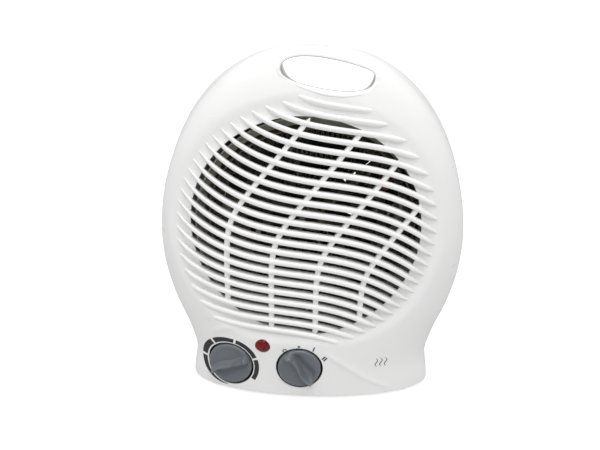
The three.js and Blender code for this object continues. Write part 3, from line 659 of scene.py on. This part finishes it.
def shell_ring(share, row, rows, centre_z, first, lead_rows, gather):
    """x and z on a shell's grid, how far its two edges have rolled, and where it ends on the floor."""
    angle = 2 * np.pi * share
    bottom = FLOOR_Z + EDGE
    reach = outline(angle, centre_z, bottom)
    main = np.clip((row - lead_rows) / (rows - lead_rows - ROLL_ROWS), 0, 1)
    inner = np.radians(90) * np.clip((lead_rows - row) / ROLL_ROWS, 0, 1)
    outer = np.radians(90) * np.clip((row - rows + ROLL_ROWS) / ROLL_ROWS, 0, 1)
    at_floor = centre_z + reach * np.cos(angle) < bottom + 0.05
    r = first + (reach - first) * (1 - (1 - main) ** gather) - EDGE * np.sin(inner)
    r = r - np.where(at_floor, 0, EDGE * (1 - np.cos(outer)))
    return r * np.sin(angle), centre_z + r * np.cos(angle), inner, outer, at_floor


def meeting_seam(x, y, z, outer, at_floor, side):
    """Rolls the outer edge into the seam, or under the casing. side is -1 in front and 1 behind."""
    rim = seam_y(z) + side * (SEAM_GAP + EDGE * (1 - np.sin(outer)))
    on_shell = side * np.maximum(side * y, side * rim)
    under = y - side * EDGE * (1 - np.cos(outer))
    y = np.where(at_floor, under, np.where(outer > 0, rim, on_shell))
    return x, y, np.where(at_floor, z - EDGE * np.sin(outer), z)


def front_place(share, row):
    first = opening_reach(2 * np.pi * share) + EDGE
    x, z, inner, outer, at_floor = shell_ring(share, row, FRONT_ROWS, OUTLET_Z, first, ROLL_ROWS, 2)
    y = front_y(x, z) + dish(x, z) - crease(x, z) + EDGE * (1 - np.cos(inner))
    return meeting_seam(x, y, z, outer, at_floor, -1)


front = laid("front_casing", FRONT_COLUMNS, FRONT_ROWS, front_place, towards=(0, -1, 0))
with_modifier(front, "SOLIDIFY", thickness=WALL * MM, offset=-1, use_quality_normals=True)
print("front faces", len(front.data.polygons))

# %% Cutting tools for the handle, the wells and the lamp


def handle_tool(name, from_y, to_y):
    def place(share, row):
        turn = 2 * np.pi * share
        y = np.array([from_y, from_y, max(from_y, HANDLE_FRONT), to_y, to_y])[row]
        x, z = handle_ring(turn, LIP_CUT, y)
        ends = (row == 0) | (row == 4)
        middle_z = HANDLE_Z - 0.2 * np.maximum(y - HANDLE_FRONT, 0)
        return np.where(ends, HANDLE_X, x), y, np.where(ends, middle_z, z)
    return laid(name, 128, 4, place)


def cut(obj, tool):
    with_modifier(obj, "BOOLEAN", operation="DIFFERENCE", solver="MANIFOLD", object=tool)
    bpy.data.objects.remove(tool)
    return obj


def drilled(obj, radius, low, high, centre, outward, columns):
    rod = [(0, low), (radius, low), (radius, high), (0, high)]
    return cut(obj, turned("tool_rod", rod, centre, outward, columns))


cut(front, handle_tool("tool_handle", HANDLE_FRONT - 20, HANDLE_FRONT + 60))
for control in CONTROLS.values():
    drilled(front, WELL_R * control["size"], -20, 12, control["centre"], control["outward"], 96)
lamp_centre = panel_point(LAMP_X, LAMP_Z)
drilled(front, LAMP_R + 0.3, -12, 8, lamp_centre, (0, -1, 0), 48)
print("front faces after cutting", len(front.data.polygons))

# %% [markdown]
# ### The lip of the finger hole
# On each half the edge of the hole rolls inwards and runs on as a sleeve to the seam. A boolean
# would leave a hard edge there, so the lip is laid as its own strip: it starts just under the
# shell's surface, rolls over and goes in, and is then joined to the shell. In front, the last
# part of the roll and the wall behind it are a piece of their own, grey with painted shade that
# stands for the thin shadow at the hole's edge.

# %% Handle sleeves
SLEEVE_COLUMNS, SLEEVE_ROWS, ROLL_STEPS = 160, 18, 9
EDGE_ROLL = 60
LIP_DEPTH = 0.8 * LIP
SLEEVE_WALL = 0.8


def lip_point(turn, roll, run):
    """roll is 0 on the shell and 90 degrees at the wall, and run is 1 at the wall's end on the seam."""
    grow = LIP * (1 - np.sin(roll))
    x, z = handle_ring(turn, grow, np.full_like(turn, HANDLE_FRONT))
    start = front_y(x, z) + LIP_DEPTH * (1 - np.cos(roll)) - 0.05
    y = start + (seam_y(z) - SEAM_GAP - start) * run
    x, z = handle_ring(turn, grow, y)
    return x, y, z


def front_sleeve(share, row):
    turn = 2 * np.pi * share
    rolled = lip_point(turn, np.radians(EDGE_ROLL) * np.clip((row - 1) / ROLL_STEPS, 0, 1), 0)
    x, z = handle_ring(turn, LIP + 0.4, np.full_like(turn, HANDLE_FRONT))
    under_shell = (x, front_y(x, z) + 0.5, z)
    return [np.where(row == 0, start, rest) for start, rest in zip(under_shell, rolled)]


def inner_sleeve(share, row):
    roll = np.radians(EDGE_ROLL + (90 - EDGE_ROLL) * np.clip(row / 4, 0, 1))
    return lip_point(2 * np.pi * share, roll, np.clip((row - 4) / 8, 0, 1))


def back_exit(turn, grow):
    def outside(y):
        x, z = handle_ring(turn, grow, y)
        return (np.abs(x) > half_width(z)) | (y > back_y(x, z))
    return meet(np.full_like(turn, 0.0), np.full_like(turn, 80.0), outside)


def rear_sleeve(share, row):
    turn = 2 * np.pi * share
    roll = np.radians(90) * np.clip((row - 1) / ROLL_STEPS, 0, 1)
    grow = np.where(row == 0, LIP + 0.4, LIP * (1 - np.sin(roll)))
    start = back_exit(turn, grow) - LIP_DEPTH * (1 - np.cos(roll)) + 0.05
    start = np.where(row == 0, start - 0.6, start)
    run = np.clip((row - 1 - ROLL_STEPS) / (SLEEVE_ROWS - 1 - ROLL_STEPS), 0, 1)
    _, z = handle_ring(turn, grow, start)
    end = np.minimum(seam_y(HANDLE_Z) + SEAM_GAP, start)
    y = start + (end - start) * run
    x, z = handle_ring(turn, grow, y)
    return x, y, z


sleeve = laid("handle_lip", SLEEVE_COLUMNS, ROLL_STEPS + 1, front_sleeve)
hole_wall = laid("handle_inner_wall", SLEEVE_COLUMNS, 12, inner_sleeve)
for strip in (sleeve, hole_wall):
    with_modifier(strip, "SOLIDIFY", thickness=SLEEVE_WALL * MM, offset=0)
smooth(hole_wall, 40)
# The hole's inner wall takes the grey of painted shade.
piece(hole_wall, HOLE_WALL_SHADE, "casing")
front = joined("front_casing", [front, sleeve])
smooth(front, 38)
piece(front, CASING, "casing", ["front_shell"])

# %% [markdown]
# ## The outlet bars
# The bars run across the outlet in long waves that open out like a fan to the left, and each
# one rises out of the dish and sinks back into it. One bar is a tube laid along its wave, with
# a rounded crest and a deep back that points straight in, and its ends dive under the surface.

# %% Bars
BAR_COUNT, BAR_SPREAD = 23, 86.0
BAR_COLUMNS, BAR_ROWS = 16, 60
CREST, SLAT_DEPTH, END_RUN = 1.8, 6.0, 13.0
BAR_SUNK, END_SUNK = 1.35, 2.2
BAR_REACH, TOP_RIDGE_REACH, LOW_LEFT_REACH = 95.5, 98.5, 8.0
CLOSED = 0.02


def bar_z(index, x):
    q = 2 * index / (BAR_COUNT - 1) - 1
    u = x / 80
    level = OUTLET_Z + 1.75 - BAR_SPREAD * q - 2 * q * q
    return level - (10.3 + 6.9 * q * q) * u - (5.6 + 22 * q) * u * u - 19.3 * u ** 3


def bar_span(index):
    xs = np.arange(-BAR_REACH - 5, BAR_REACH + 5, 0.25)
    dx, dz = xs - DISH_X, bar_z(index, xs) - DISH_Z
    away = np.hypot(dx, dz)
    low_left = np.maximum(-(dx + dz) / (np.sqrt(2) * away), 0) ** 6
    reach = (BAR_REACH if index >= 0 else TOP_RIDGE_REACH) + LOW_LEFT_REACH * low_left
    return xs[away < reach].min(), xs[away < reach].max()


def lean(x, z):
    """How far the front leans back per millimetre of height."""
    return (front_y(x, z + 1) - front_y(x, z - 1)) / 2


def bar_place(index):
    left, right = bar_span(index)

    def place(share, row):
        along = row / BAR_ROWS
        x = left + (right - left) * along
        z = bar_z(index, x)
        rise = np.clip(np.minimum(x - left, right - x) / END_RUN, 0, 1)
        rise = rise * rise * (3 - 2 * rise)
        a = 2 * np.pi * share
        crest = np.sin(a) > 0
        round_off = np.abs(np.sin(a)) ** np.where(crest, 0.9, 0.8)
        half = (0.6 + 1.6 * rise) * np.where(crest, 1, 1 + 0.25 * np.sin(a))
        tall = np.sign(np.cos(a)) * np.abs(np.cos(a)) ** np.where(crest, 1, 0.6)
        deep = np.where(crest, -CREST, SLAT_DEPTH * rise) * round_off
        closed = np.where((row == 0) | (row == BAR_ROWS), CLOSED, 1)
        inward = deep * closed * (0.5 + 0.5 * rise)
        y = front_y(x, z) + BAR_SUNK + END_SUNK * (1 - rise) + inward
        return x, y, z + half * tall * closed - inward * lean(x, z)
    return place


bars = [laid(f"bar_{i}", BAR_COLUMNS, BAR_ROWS, bar_place(i)) for i in range(-1, BAR_COUNT - 1)]
outlet_bars = joined("outlet_bars", bars)
smooth(outlet_bars, 60)
piece(outlet_bars, BARS, "casing", ["front_grille"])

# %% [markdown]
# ### The upright ribs behind the bars
# Four thin ribs stand behind the bars and tie them together. Each leans to the right above a
# soft bend, and the bends step down from one rib to the next.

# %% Ribs
RIB_COUNT, RIB_ROWS = 4, 48
RIB_HALF, RIB_DEEP, RIB_SUNK = 2.1, 1.9, 3.4


def rib_x(index, z):
    return -59 + 31.5 * index + 6.4 * np.log(1 + np.exp((z - 144 + 13 * index) / 8))


def rib_place(index):
    zs = np.arange(OPENING_Z - OPENING_R, OPENING_Z + OPENING_R, 0.25)
    inside = in_opening(rib_x(index, zs), zs, 1.5)
    low, high = zs[inside].min(), zs[inside].max()

    def place(share, row):
        z = low + (high - low) * row / RIB_ROWS
        x = rib_x(index, z)
        a = 2 * np.pi * share
        closed = np.where((row == 0) | (row == RIB_ROWS), CLOSED, 1)
        across = RIB_HALF * np.sign(np.cos(a)) * np.abs(np.cos(a)) ** 0.6
        deep = RIB_DEEP * np.sign(np.sin(a)) * np.abs(np.sin(a)) ** 0.6
        return x + across * closed, front_y(x, z) + RIB_SUNK + deep * closed, z
    return place


ribs = [laid(f"rib_{i}", 12, RIB_ROWS, rib_place(i)) for i in range(RIB_COUNT)]
outlet_ribs = joined("outlet_ribs", ribs)
smooth(outlet_ribs, 50)
piece(outlet_ribs, RIBS, "casing")

# %% [markdown]
# ## The rear half of the casing
# The rear half is laid in the same way round the air intake, which has a collar for its guard.
# Six screw wells, the finger hole and the hole for the mains lead are cut out of it.

# %% Rear shell
INTAKE_Z, INTAKE_R = 132.0, 60.0
REAR_COLUMNS, REAR_ROWS, COLLAR_ROWS, COLLAR_STEP = 400, 62, 3, 4.5
SCREW_WELL_R = 4.6
SCREWS = [(-78, 54), (78, 54), (-98, 112), (98, 112), (-68, 196), (68, 196)]
CORD_X, CORD_Z, CORD_R = 55.0, 24.0, 6.0


def rear_place(share, row):
    lead_rows = COLLAR_ROWS + ROLL_ROWS
    x, z, inner, outer, at_floor = shell_ring(
        share, row, REAR_ROWS, INTAKE_Z, INTAKE_R + EDGE, lead_rows, 2.6)
    collar = np.clip(COLLAR_ROWS - row, 0, COLLAR_ROWS)
    y = back_y(x, z) - EDGE * (1 - np.cos(inner)) - COLLAR_STEP * collar
    return meeting_seam(x, y, z, outer, at_floor, 1)


rear = laid("rear_casing", REAR_COLUMNS, REAR_ROWS, rear_place, towards=(0, 1, 0))
with_modifier(rear, "SOLIDIFY", thickness=WALL * MM, offset=-1, use_quality_normals=True)
cut(rear, handle_tool("tool_handle", 0.0, 75.0))
for sx, sz in SCREWS:
    drilled(rear, SCREW_WELL_R, -30, 60, (sx, seam_y(sz) + 25, sz), (0, 1, 0), 32)
cord_seat = float(back_y(np.float64(CORD_X - 10), np.float64(CORD_Z))) + 1
drilled(rear, CORD_R, -30, 20, (CORD_X, cord_seat, CORD_Z), (0, 1, 0), 32)
print("rear faces after cutting", len(rear.data.polygons))

# %% Screw wells, lead boss and rear handle lip
extras = []
for sx, sz in SCREWS:
    seat = seam_y(sz) + 8
    outer_side = np.float64(sx + math.copysign(SCREW_WELL_R, sx))
    deep = float(back_y(outer_side, np.float64(sz))) - 0.6 - seat
    ring = [(2.3, 0), (2.3, -1.6), (6.2, -1.6), (6.2, deep), (SCREW_WELL_R, deep),
            (SCREW_WELL_R, 0), (2.3, 0)]
    extras.append(turned("screw_well", ring, (sx, seat, sz), (0, 1, 0), 32))
boss = rounded([(CORD_R, -8), (10.5, -8), (10.5, 0), (CORD_R, 0), (CORD_R, -8)], 0.8)
extras.append(turned("lead_boss", boss + [boss[0]], (CORD_X, cord_seat, CORD_Z), (0, 1, 0), 48))
rear_lip = laid("rear_lip", SLEEVE_COLUMNS, SLEEVE_ROWS, rear_sleeve)
with_modifier(rear_lip, "SOLIDIFY", thickness=SLEEVE_WALL * MM, offset=0)
rear = joined("rear_casing", [rear, rear_lip] + extras)
smooth(rear, 38)
piece(rear, CASING, "casing", ["rear_shell"])

# %% [markdown]
# ### The underside
# A flat plate closes the bottom, with its edge tucked against the rolled edges of both halves.

# %% Base plate
PLATE_ROWS = 8


def plate_place(share, row):
    angle = 2 * np.pi * share
    z0 = np.float64(FLOOR_Z)
    w = half_width(z0) - 0.4
    x = w * np.sin(angle)
    behind = np.cos(angle) > 0
    y = np.where(behind, back_y(x, z0) - 0.9, front_y(x, z0) + 0.9)
    share_out = np.array([0, 0.35, 0.7, 0.97, 1, 1, 0.97, 0.5, 0])[row]
    z = np.array([0, 0, 0, 0, 0.4, 2.0, 2.4, 2.4, 2.4])[row]
    return x * share_out, seam_y(z0) + (y - seam_y(z0)) * share_out, FLOOR_Z + z


base = laid("base_plate", 240, PLATE_ROWS, plate_place)
smooth(base, 40)
piece(base, CASING, "casing")

# %% [markdown]
# ## Knobs
# Each knob is a low disc with a tapered S-shaped grip across it, wide at the pointer and narrow
# behind, and a scoop for the fingertips along one side of it. The grip blends into the disc on
# every side, so the face is laid as a height over a round grid: the nearer to the grip's middle
# line, the higher.

# %% Knob shape
KNOB_FACE, GRIP, DISC_R = 1.5, 6.4, 15.7
KNOB_BACK = -7.0
KNOB_COLUMNS = 144


def grip_height(along, across):
    """Height of the grip above the face. along points to the wide end."""
    s = np.clip((along + DISC_R) / (2 * DISC_R), 0, 1)
    middle = 2.0 * np.sin((s - 0.5) * np.pi * 1.7)
    half = 1.0 + 1.1 * s ** 2
    run = np.where(across > middle, 1.5, 1.9)
    wall = np.clip((half + run - np.abs(across - middle)) / (run + 0.9), 0, 1)
    ends = np.clip((DISC_R + 0.3 - np.hypot(along, across * 0.7)) / 1.6, 0, 1)
    return (GRIP - 1.6 * (1 - s)) * wall * wall * (3 - 2 * wall) * np.sqrt(ends)


def knob_place(control):
    right, out, up = axes_of(control["outward"])
    pointer = math.radians(control["pointer"])
    side = [(0, KNOB_BACK), (DISC_R - 1, KNOB_BACK), (DISC_R - 0.3, KNOB_BACK + 0.4),
            (DISC_R, KNOB_BACK + 1.2), (DISC_R, KNOB_FACE - 1.4), (DISC_R - 0.15, KNOB_FACE - 0.7),
            (DISC_R - 0.6, KNOB_FACE - 0.15)]
    face = [(r, KNOB_FACE) for r in np.linspace(DISC_R - 1.1, 0, 40)]
    radius, along_axis = np.array(side + face).T

    def place(share, row):
        a = 2 * np.pi * share
        r = radius[row]
        on_face = row >= len(side) - 1
        along, across = r * np.cos(a), r * np.sin(a)
        rim = np.clip((DISC_R - 1.5 - r) / 4, 0, 1)
        scoop = 1.9 * np.exp(-((across - 3.5) / 4.0) ** 2) * (across > 0) + 0.5
        lift = np.where(on_face, grip_height(along, across) - scoop * rim * rim * (3 - 2 * rim), 0)
        clock = a + pointer
        ring = np.outer(np.sin(clock), right) + np.outer(np.cos(clock), up)
        height = np.outer(along_axis[row] + lift, out)
        return (control["centre"] + ring * (control["size"] * r)[:, None] + height).T
    return place, len(radius) - 1


for name, control in CONTROLS.items():
    place, rows = knob_place(control)
    knob = laid(f"{name}_grip_knob", KNOB_COLUMNS, rows, place)
    smooth(knob, 50)
    piece(knob, SLATE, name, [f"{name}_knob"])

# %% [markdown]
# ### Wells, scale and marks
# A dark lining shows as a thin ring round each knob. The thermostat has a printed scale that
# grows thicker clockwise, and the selector has four plain marks: off, fan, low and high. They
# are thin sheets dropped onto the panel, a little proud of it, so they survive as geometry.

# %% Well linings
LINING_RADII = np.array([16.6, 16.9, 17.4, 17.4, 0, 0, 16.6, 16.6])
LINING_BELOW_RIM = np.array([0.7, 0.45, 0.7, 0, 0, 0, 0, 1.2])
LINING_FLOOR = np.array([0, 0, 0, -9.6, -9.6, -8.2, -8.2, 0])


def lining_place(control):
    right, out, up = axes_of(control["outward"])

    def place(share, row):
        clock = 2 * np.pi * share
        bore = np.full_like(clock, WELL_R * control["size"])
        rim = (on_panel(control["centre"], control["outward"], bore, clock) - control["centre"]) @ out
        on_floor = LINING_FLOOR[row] < 0
        level = np.where(on_floor, LINING_FLOOR[row], rim - LINING_BELOW_RIM[row])
        ring = np.outer(np.sin(clock), right) + np.outer(np.cos(clock), up)
        radius = LINING_RADII[row] * control["size"]
        return (control["centre"] + ring * radius[:, None] + np.outer(level, out)).T
    return place


for name, control in CONTROLS.items():
    well = laid(f"{name}_well", 96, 7, lining_place(control))
    smooth(well, 40)
    piece(well, BLACK, "casing")

# %% Printed scale and marks
PRINT_LIFT, PRINT_THICK = 0.12, 0.2


def print_sheet(name, columns, rows, control, radius_clock):
    def place(share, row):
        radius, clock = radius_clock(share, row / rows)
        return on_panel(control["centre"], control["outward"], radius, clock, PRINT_LIFT).T
    sheet = laid(name, columns, rows, place, towards=(0, -1, 0))
    return with_modifier(sheet, "SOLIDIFY", thickness=PRINT_THICK * MM, offset=-1)


ARCS = [(186, 271), (276, 317), (322, 367), (372, 426), (431, 480)]
SCALE_R = 18.8


def arc(start, end):
    def radius_clock(share, across):
        degrees = start + (end - start) * share
        clock = np.radians(degrees)
        leftward = np.maximum(-np.sin(clock), 0)
        growth = np.sin(np.radians(90) * np.clip((degrees - ARCS[0][0]) / 150, 0, 1))
        width = (0.35 + 2.95 * growth) * (1 + 0.6 * leftward)
        return SCALE_R + 0.5 * leftward + width * across, clock
    return radius_clock


scale_arcs = [print_sheet("arc", 24, 2, CONTROLS["thermostat"], arc(a, b)) for a, b in ARCS]
scale = joined("thermostat_scale", scale_arcs)
piece(scale, INK, "casing")


def stamp(name, x, z, columns, rows, shape):
    """A flat mark on the panel about (x, z). shape gives offsets right and up from shares."""
    def place(share, row):
        dx, dz = shape(share, row / rows)
        px, pz = x + dx, z + dz
        return px, front_y(px, pz) - crease(px, pz) - PRINT_LIFT, pz
    sheet = laid(name, columns, rows, place, towards=(0, -1, 0))
    return with_modifier(sheet, "SOLIDIFY", thickness=PRINT_THICK * MM, offset=-1)


def ring_shape(inner, outer):
    return lambda s, t: ((inner + (outer - inner) * t) * np.sin(2 * np.pi * s),
                         (inner + (outer - inner) * t) * np.cos(2 * np.pi * s))


def bar_shape(width, height, turn, offset=0.0):
    a = math.radians(turn)

    def shape(s, t):
        across, up = offset + width * (s - 0.5), height * (t - 0.5)
        return across * math.cos(a) + up * math.sin(a), up * math.cos(a) - across * math.sin(a)
    return shape


def blade_shape(turn):
    def shape(s, t):
        a = math.radians(turn) + (s - 0.5) * 1.15 * t
        return 2.3 * t * np.sin(a), 2.3 * t * np.cos(a)
    return shape


marks = [stamp("mark", -17.9, 42.5, 24, 1, ring_shape(0.95, 1.6))]
marks += [stamp("mark", -7.5, 45.0, 6, 3, blade_shape(turn)) for turn in (0, 120, 240)]
marks.append(stamp("mark", 3.2, 44.8, 1, 2, bar_shape(0.9, 3.8, 18)))
marks += [stamp("mark", 11.1, 36.8, 1, 2, bar_shape(1.0, 3.6, 44, offset)) for offset in (-0.85, 0.85)]
selector_marks = joined("selector_marks", marks)
piece(selector_marks, INK, "casing")

# %% [markdown]
# ### A warm-air mark
# A plain sign of three rising waves stands at the lower right of the panel, in place of a name.

# %% Three waves


def wave_shape(offset):
    def shape(s, t):
        up = 7.5 * (s - 0.5)
        return offset + 0.9 * np.sin(up * 0.95) + 0.7 * (t - 0.5) * (1 - 0.6 * np.abs(2 * s - 1)), up
    return shape


waves = [stamp("wave", 52.5, 31.0, 24, 1, wave_shape(offset)) for offset in (-3.4, 0, 3.4)]
warm_mark = joined("warm_air_mark", waves)
piece(warm_mark, INK, "casing")

# %% [markdown]
# ## Lamp, feet, screws and lead bush
# The lens is turned with twenty sides and left faceted, and together with the painted glints in
# its colour this makes it sparkle. The other small pieces are turned too, with rounded corners,
# and the screws get a cross recess.

# %% Lamp lens
lens_profile = [(0, -7), (4, -7), (LAMP_R, -6), (LAMP_R, 0.2), (5.9, 0.5), (5.9, 1.2), (4.9, 2.3),
                (2.6, 3.4), (0, 3.7)]
lens = turned("lamp_jewel", lens_profile, lamp_centre + np.array((0, 1.9, 0)), (0, -1, 0), 20)
piece(lens, LENS, "casing", ["lamp_lens"])

# %% Feet
FEET = [(-68, -42 + SHIFT), (68, -42 + SHIFT), (-60, 42 + SHIFT), (60, 42 + SHIFT)]
foot_profile = rounded([(0, 0), (5.2, 0), (6.3, 0.15), (7, 1.2), (7, 3.2), (0, 3.2)], 0.5)
for i, (fx, fy) in enumerate(FEET, 1):
    foot = turned(f"rubber_foot_{i}", foot_profile, (fx, fy, 0), (0, 0, 1), 40)
    smooth(foot, 40)
    piece(foot, RUBBER, "casing", [f"foot_{i}"])

# %% Screws
SCREW_RADII = np.array([0, 0.5, 1.0, 1.5, 2.0, 2.6, 3.2, 3.6, 3.6, 1.7, 1.7, 0])
SCREW_LEVELS = np.array([2.6, 2.6, 2.6, 2.55, 2.4, 2.1, 1.6, 0.9, 0, 0, -15, -17])


def screw_place(sx, sz):
    seat = seam_y(sz) + 8.3

    def place(share, row):
        a = 2 * np.pi * share
        r = SCREW_RADII[row]
        dx, dz = r * np.cos(a), r * np.sin(a)
        recess = (np.minimum(np.abs(dx), np.abs(dz)) < 0.42) & (r < 1.9) & (row < 5)
        return sx + dx, seat + SCREW_LEVELS[row] - np.where(recess, 1.1, 0), sz + dz
    return place


for i, (sx, sz) in enumerate(SCREWS, 1):
    screw = laid(f"cross_screw_{i}", 48, len(SCREW_RADII) - 1, screw_place(sx, sz))
    smooth(screw, 30)
    piece(screw, PLATE, "casing", [f"case_screw_{i}"])

# %% Lead bush
bush_corners = [(3.6, -11), (5.7, -11), (5.7, 0.3), (8.2, 0.3), (8.2, 2.5), (3.6, 2.5), (3.6, -11)]
bush = turned("lead_bush", rounded(bush_corners, 0.7), (CORD_X, cord_seat, CORD_Z), (0, 1, 0), 48)
smooth(bush, 40)
piece(bush, BLACK, "casing", ["cord_bush"])

# %% [markdown]
# ## Inside the outlet
# Behind the bars a sheet-metal duct leads back to the fan. Rings of folded resistance ribbon
# stand in its mouth on crossed mica boards. The folds are what shows between the bars, so they
# are made as fine as the real ones: a strip laid in a wave round each ring, given a thickness.

# %% Duct with a flared mouth
DUCT_MOUTH_Y = -21 + SHIFT
FLARE_R, FLARE_SUNK = 80.5, 7.2
DUCT_RADII = np.array([81.2, 79.5, 76.6, 76.2, 76.2, 66.4, 66.2, 66.2])
DUCT_Y = np.array([0, 0, DUCT_MOUTH_Y + 1, DUCT_MOUTH_Y + 4, 0.2, 8.2, 12, 31.0])


def duct_place(share, row):
    a = 2 * np.pi * share
    lip_y = front_y(FLARE_R * np.sin(a), OUTLET_Z + FLARE_R * np.cos(a)) + FLARE_SUNK
    flare_y = np.where(row == 0, lip_y, (lip_y + DUCT_Y[2]) / 2)
    centre_z = np.where(row < 2, OUTLET_Z, INTAKE_Z)
    radius = DUCT_RADII[row]
    return radius * np.sin(a), np.where(row < 2, flare_y, DUCT_Y[row]), centre_z + radius * np.cos(a)


duct = laid("flared_duct", 128, 7, duct_place)
with_modifier(duct, "SOLIDIFY", thickness=0.9 * MM, offset=0)
smooth(duct, 35)
piece(duct, SHEET, "casing", ["air_duct"])

# %% Folded ribbons
HEATER_Y = -14 + SHIFT
RIBBON_PITCH, FOLD_DEPTH = 3.4, 3.0


def ribbon_place(radius):
    folds = round(2 * math.pi * radius / RIBBON_PITCH)

    def place(share, row):
        a = 2 * np.pi * share
        r = radius + FOLD_DEPTH * np.clip(1.35 * np.sin(folds * a), -1, 1)
        return r * np.cos(a), HEATER_Y - 5.1 + 4.5 * row, INTAKE_Z + r * np.sin(a)
    return place, folds


for i, radius in enumerate((32.0, 50.0, 67.5), 1):
    place, folds = ribbon_place(radius)
    ribbon = laid(f"folded_ribbon_{i}", folds * 8, 2, place)
    with_modifier(ribbon, "SOLIDIFY", thickness=0.3 * MM, offset=0)
    smooth(ribbon, 50)
    # The ribbon's dark finish is painted shade for the inside of the duct.
    piece(ribbon, RIBBON_PAINTED_SHADE, "casing", [f"heating_ribbon_{i}"])

# %% [markdown]
# ### The fan wheel
# The wheel has seven broad twisted blades on a domed hub. A blade is a sheet laid between the hub
# and the tip, steeper at the hub, and Solidify gives it the thickness of moulded plastic. They
# nearly cover the duct, and with the ribbons and mica boards darkened as painted shade this is
# why it looks black between the bars.

# %% Impeller
FAN_Y, FAN_R, BLADES, BLADE_ROWS = 14 + SHIFT, 63.0, 7, 16
ROOT_R, HALF_REACH = 12.0, np.radians(27)


def blade_place(index):
    def place(share, row):
        along, across = row / BLADE_ROWS, 2 * share - 1
        sweep = 0.22 * along ** 2 + 2 * np.pi * index / BLADES
        a = sweep + HALF_REACH * (1 - 0.12 * (1 - along)) * across
        r = (ROOT_R + (FAN_R - ROOT_R) * along) * (1 - 0.06 * across ** 2 * along ** 4)
        y = FAN_Y - across * (6.0 + 3.2 * along) + 1.4 * (1 - across ** 2)
        return r * np.cos(a), y, INTAKE_Z + r * np.sin(a)
    return place


blades = [laid(f"blade_{i}", 14, BLADE_ROWS, blade_place(i)) for i in range(BLADES)]
for blade in blades:
    with_modifier(blade, "SOLIDIFY", thickness=1.5 * MM, offset=0)
hub_profile = rounded([(0, -9), (11.5, -8.6), (15, -4), (15, 7), (12.6, 7), (12.6, -3), (0, -3)], 2.0)
fan_hub = turned("fan_hub", hub_profile, (0, FAN_Y, INTAKE_Z), (0, 1, 0), 64)
wheel = joined("fan_wheel", [fan_hub] + blades)
smooth(wheel, 40)
piece(wheel, BLACK, "fan", ["impeller"])

# %% [markdown]
# ## The intake guard
# A snap-in guard of round wires on six spokes covers the intake. The rings are turned with a
# round section, and the spokes are the same rounded bar copied round the middle.

# %% Guard
GUARD_Y = 52 + SHIFT


def ring_profile(radius, half, depth, sides=10):
    turn = np.linspace(0, 2 * np.pi, sides + 1)
    return [(radius + half * math.cos(t), depth / 2 + depth / 2 * math.sin(t)) for t in turn]


def on_guard(name, profile, columns):
    return turned(name, profile, (0, GUARD_Y, INTAKE_Z), (0, 1, 0), columns)


guard_rim = rounded([(55.7, 0), (59.7, 0), (59.7, 5), (55.7, 5), (55.7, 0)], 0.8)
guard_parts = [on_guard("guard_rim", guard_rim, 160)]
guard_parts += [on_guard("guard_ring", ring_profile(radius, 1.2, 3.0), 128) for radius in (18, 27, 36, 45)]


def spoke_place(degrees):
    b = math.radians(degrees)

    def place(share, row):
        a = 2 * np.pi * share
        along = np.array([7, 7, 57.5, 57.5])[row]
        closed = np.where((row == 0) | (row == 3), CLOSED, 1)
        across = 1.5 * np.cos(a) * closed
        x = along * math.cos(b) - across * math.sin(b)
        z = along * math.sin(b) + across * math.cos(b)
        return x, GUARD_Y + 1.5 + 1.5 * np.sin(a) * closed, INTAKE_Z + z
    return place


guard_parts += [laid("guard_spoke", 14, 3, spoke_place(60 * i)) for i in range(6)]
guard_parts.append(on_guard("guard_hub", rounded([(0, 0), (9, 0), (9, 3), (0, 3)], 0.9), 64))
guard = joined("intake_guard", guard_parts)
smooth(guard, 45)
piece(guard, CASING, "casing", ["rear_guard"])

# %% [markdown]
# ## Inner pieces kept from the frame
# The motor, boards, switches and wires are already the right shape, and they are seen only
# in glimpses between the bars and through the guard, so they keep their meshes and get a finish.

# %% Finishes for the kept pieces
# The mica boards get the finish that is darkened as painted shade.
KEPT = {
    "motor_bracket": PLATE, "motor_stack": STACK, "motor_coil": COPPER, "bearing_bridge_front": PLATE,
    "bearing_bridge_rear": PLATE, "motor_rotor": STACK, "motor_spindle": PLATE, "heater_frame": MICA_PAINTED_SHADE,
    "thermal_cutout": PHENOLIC, "thermal_fuse": CERAMIC, "selector_shaft": PLATE,
    "selector_switch": BLACK, "thermostat_shaft": PLATE, "thermostat_body": CERAMIC, "lamp_body": CERAMIC,
    "terminal_block": CERAMIC, "wire_supply": SLEEVE, "wire_thermostat": SLEEVE, "wire_heater": SLEEVE,
    "bracket_screw_1": PLATE, "bracket_screw_2": PLATE, "bracket_screw_3": PLATE,
}
for name, material in KEPT.items():
    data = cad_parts[name].data
    data.materials.clear()
    data.materials.append(material)
unfinished = [n for n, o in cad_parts.items() if not o.hide_render and n not in KEPT]
print("kept", len(KEPT), "without a finish", unfinished)
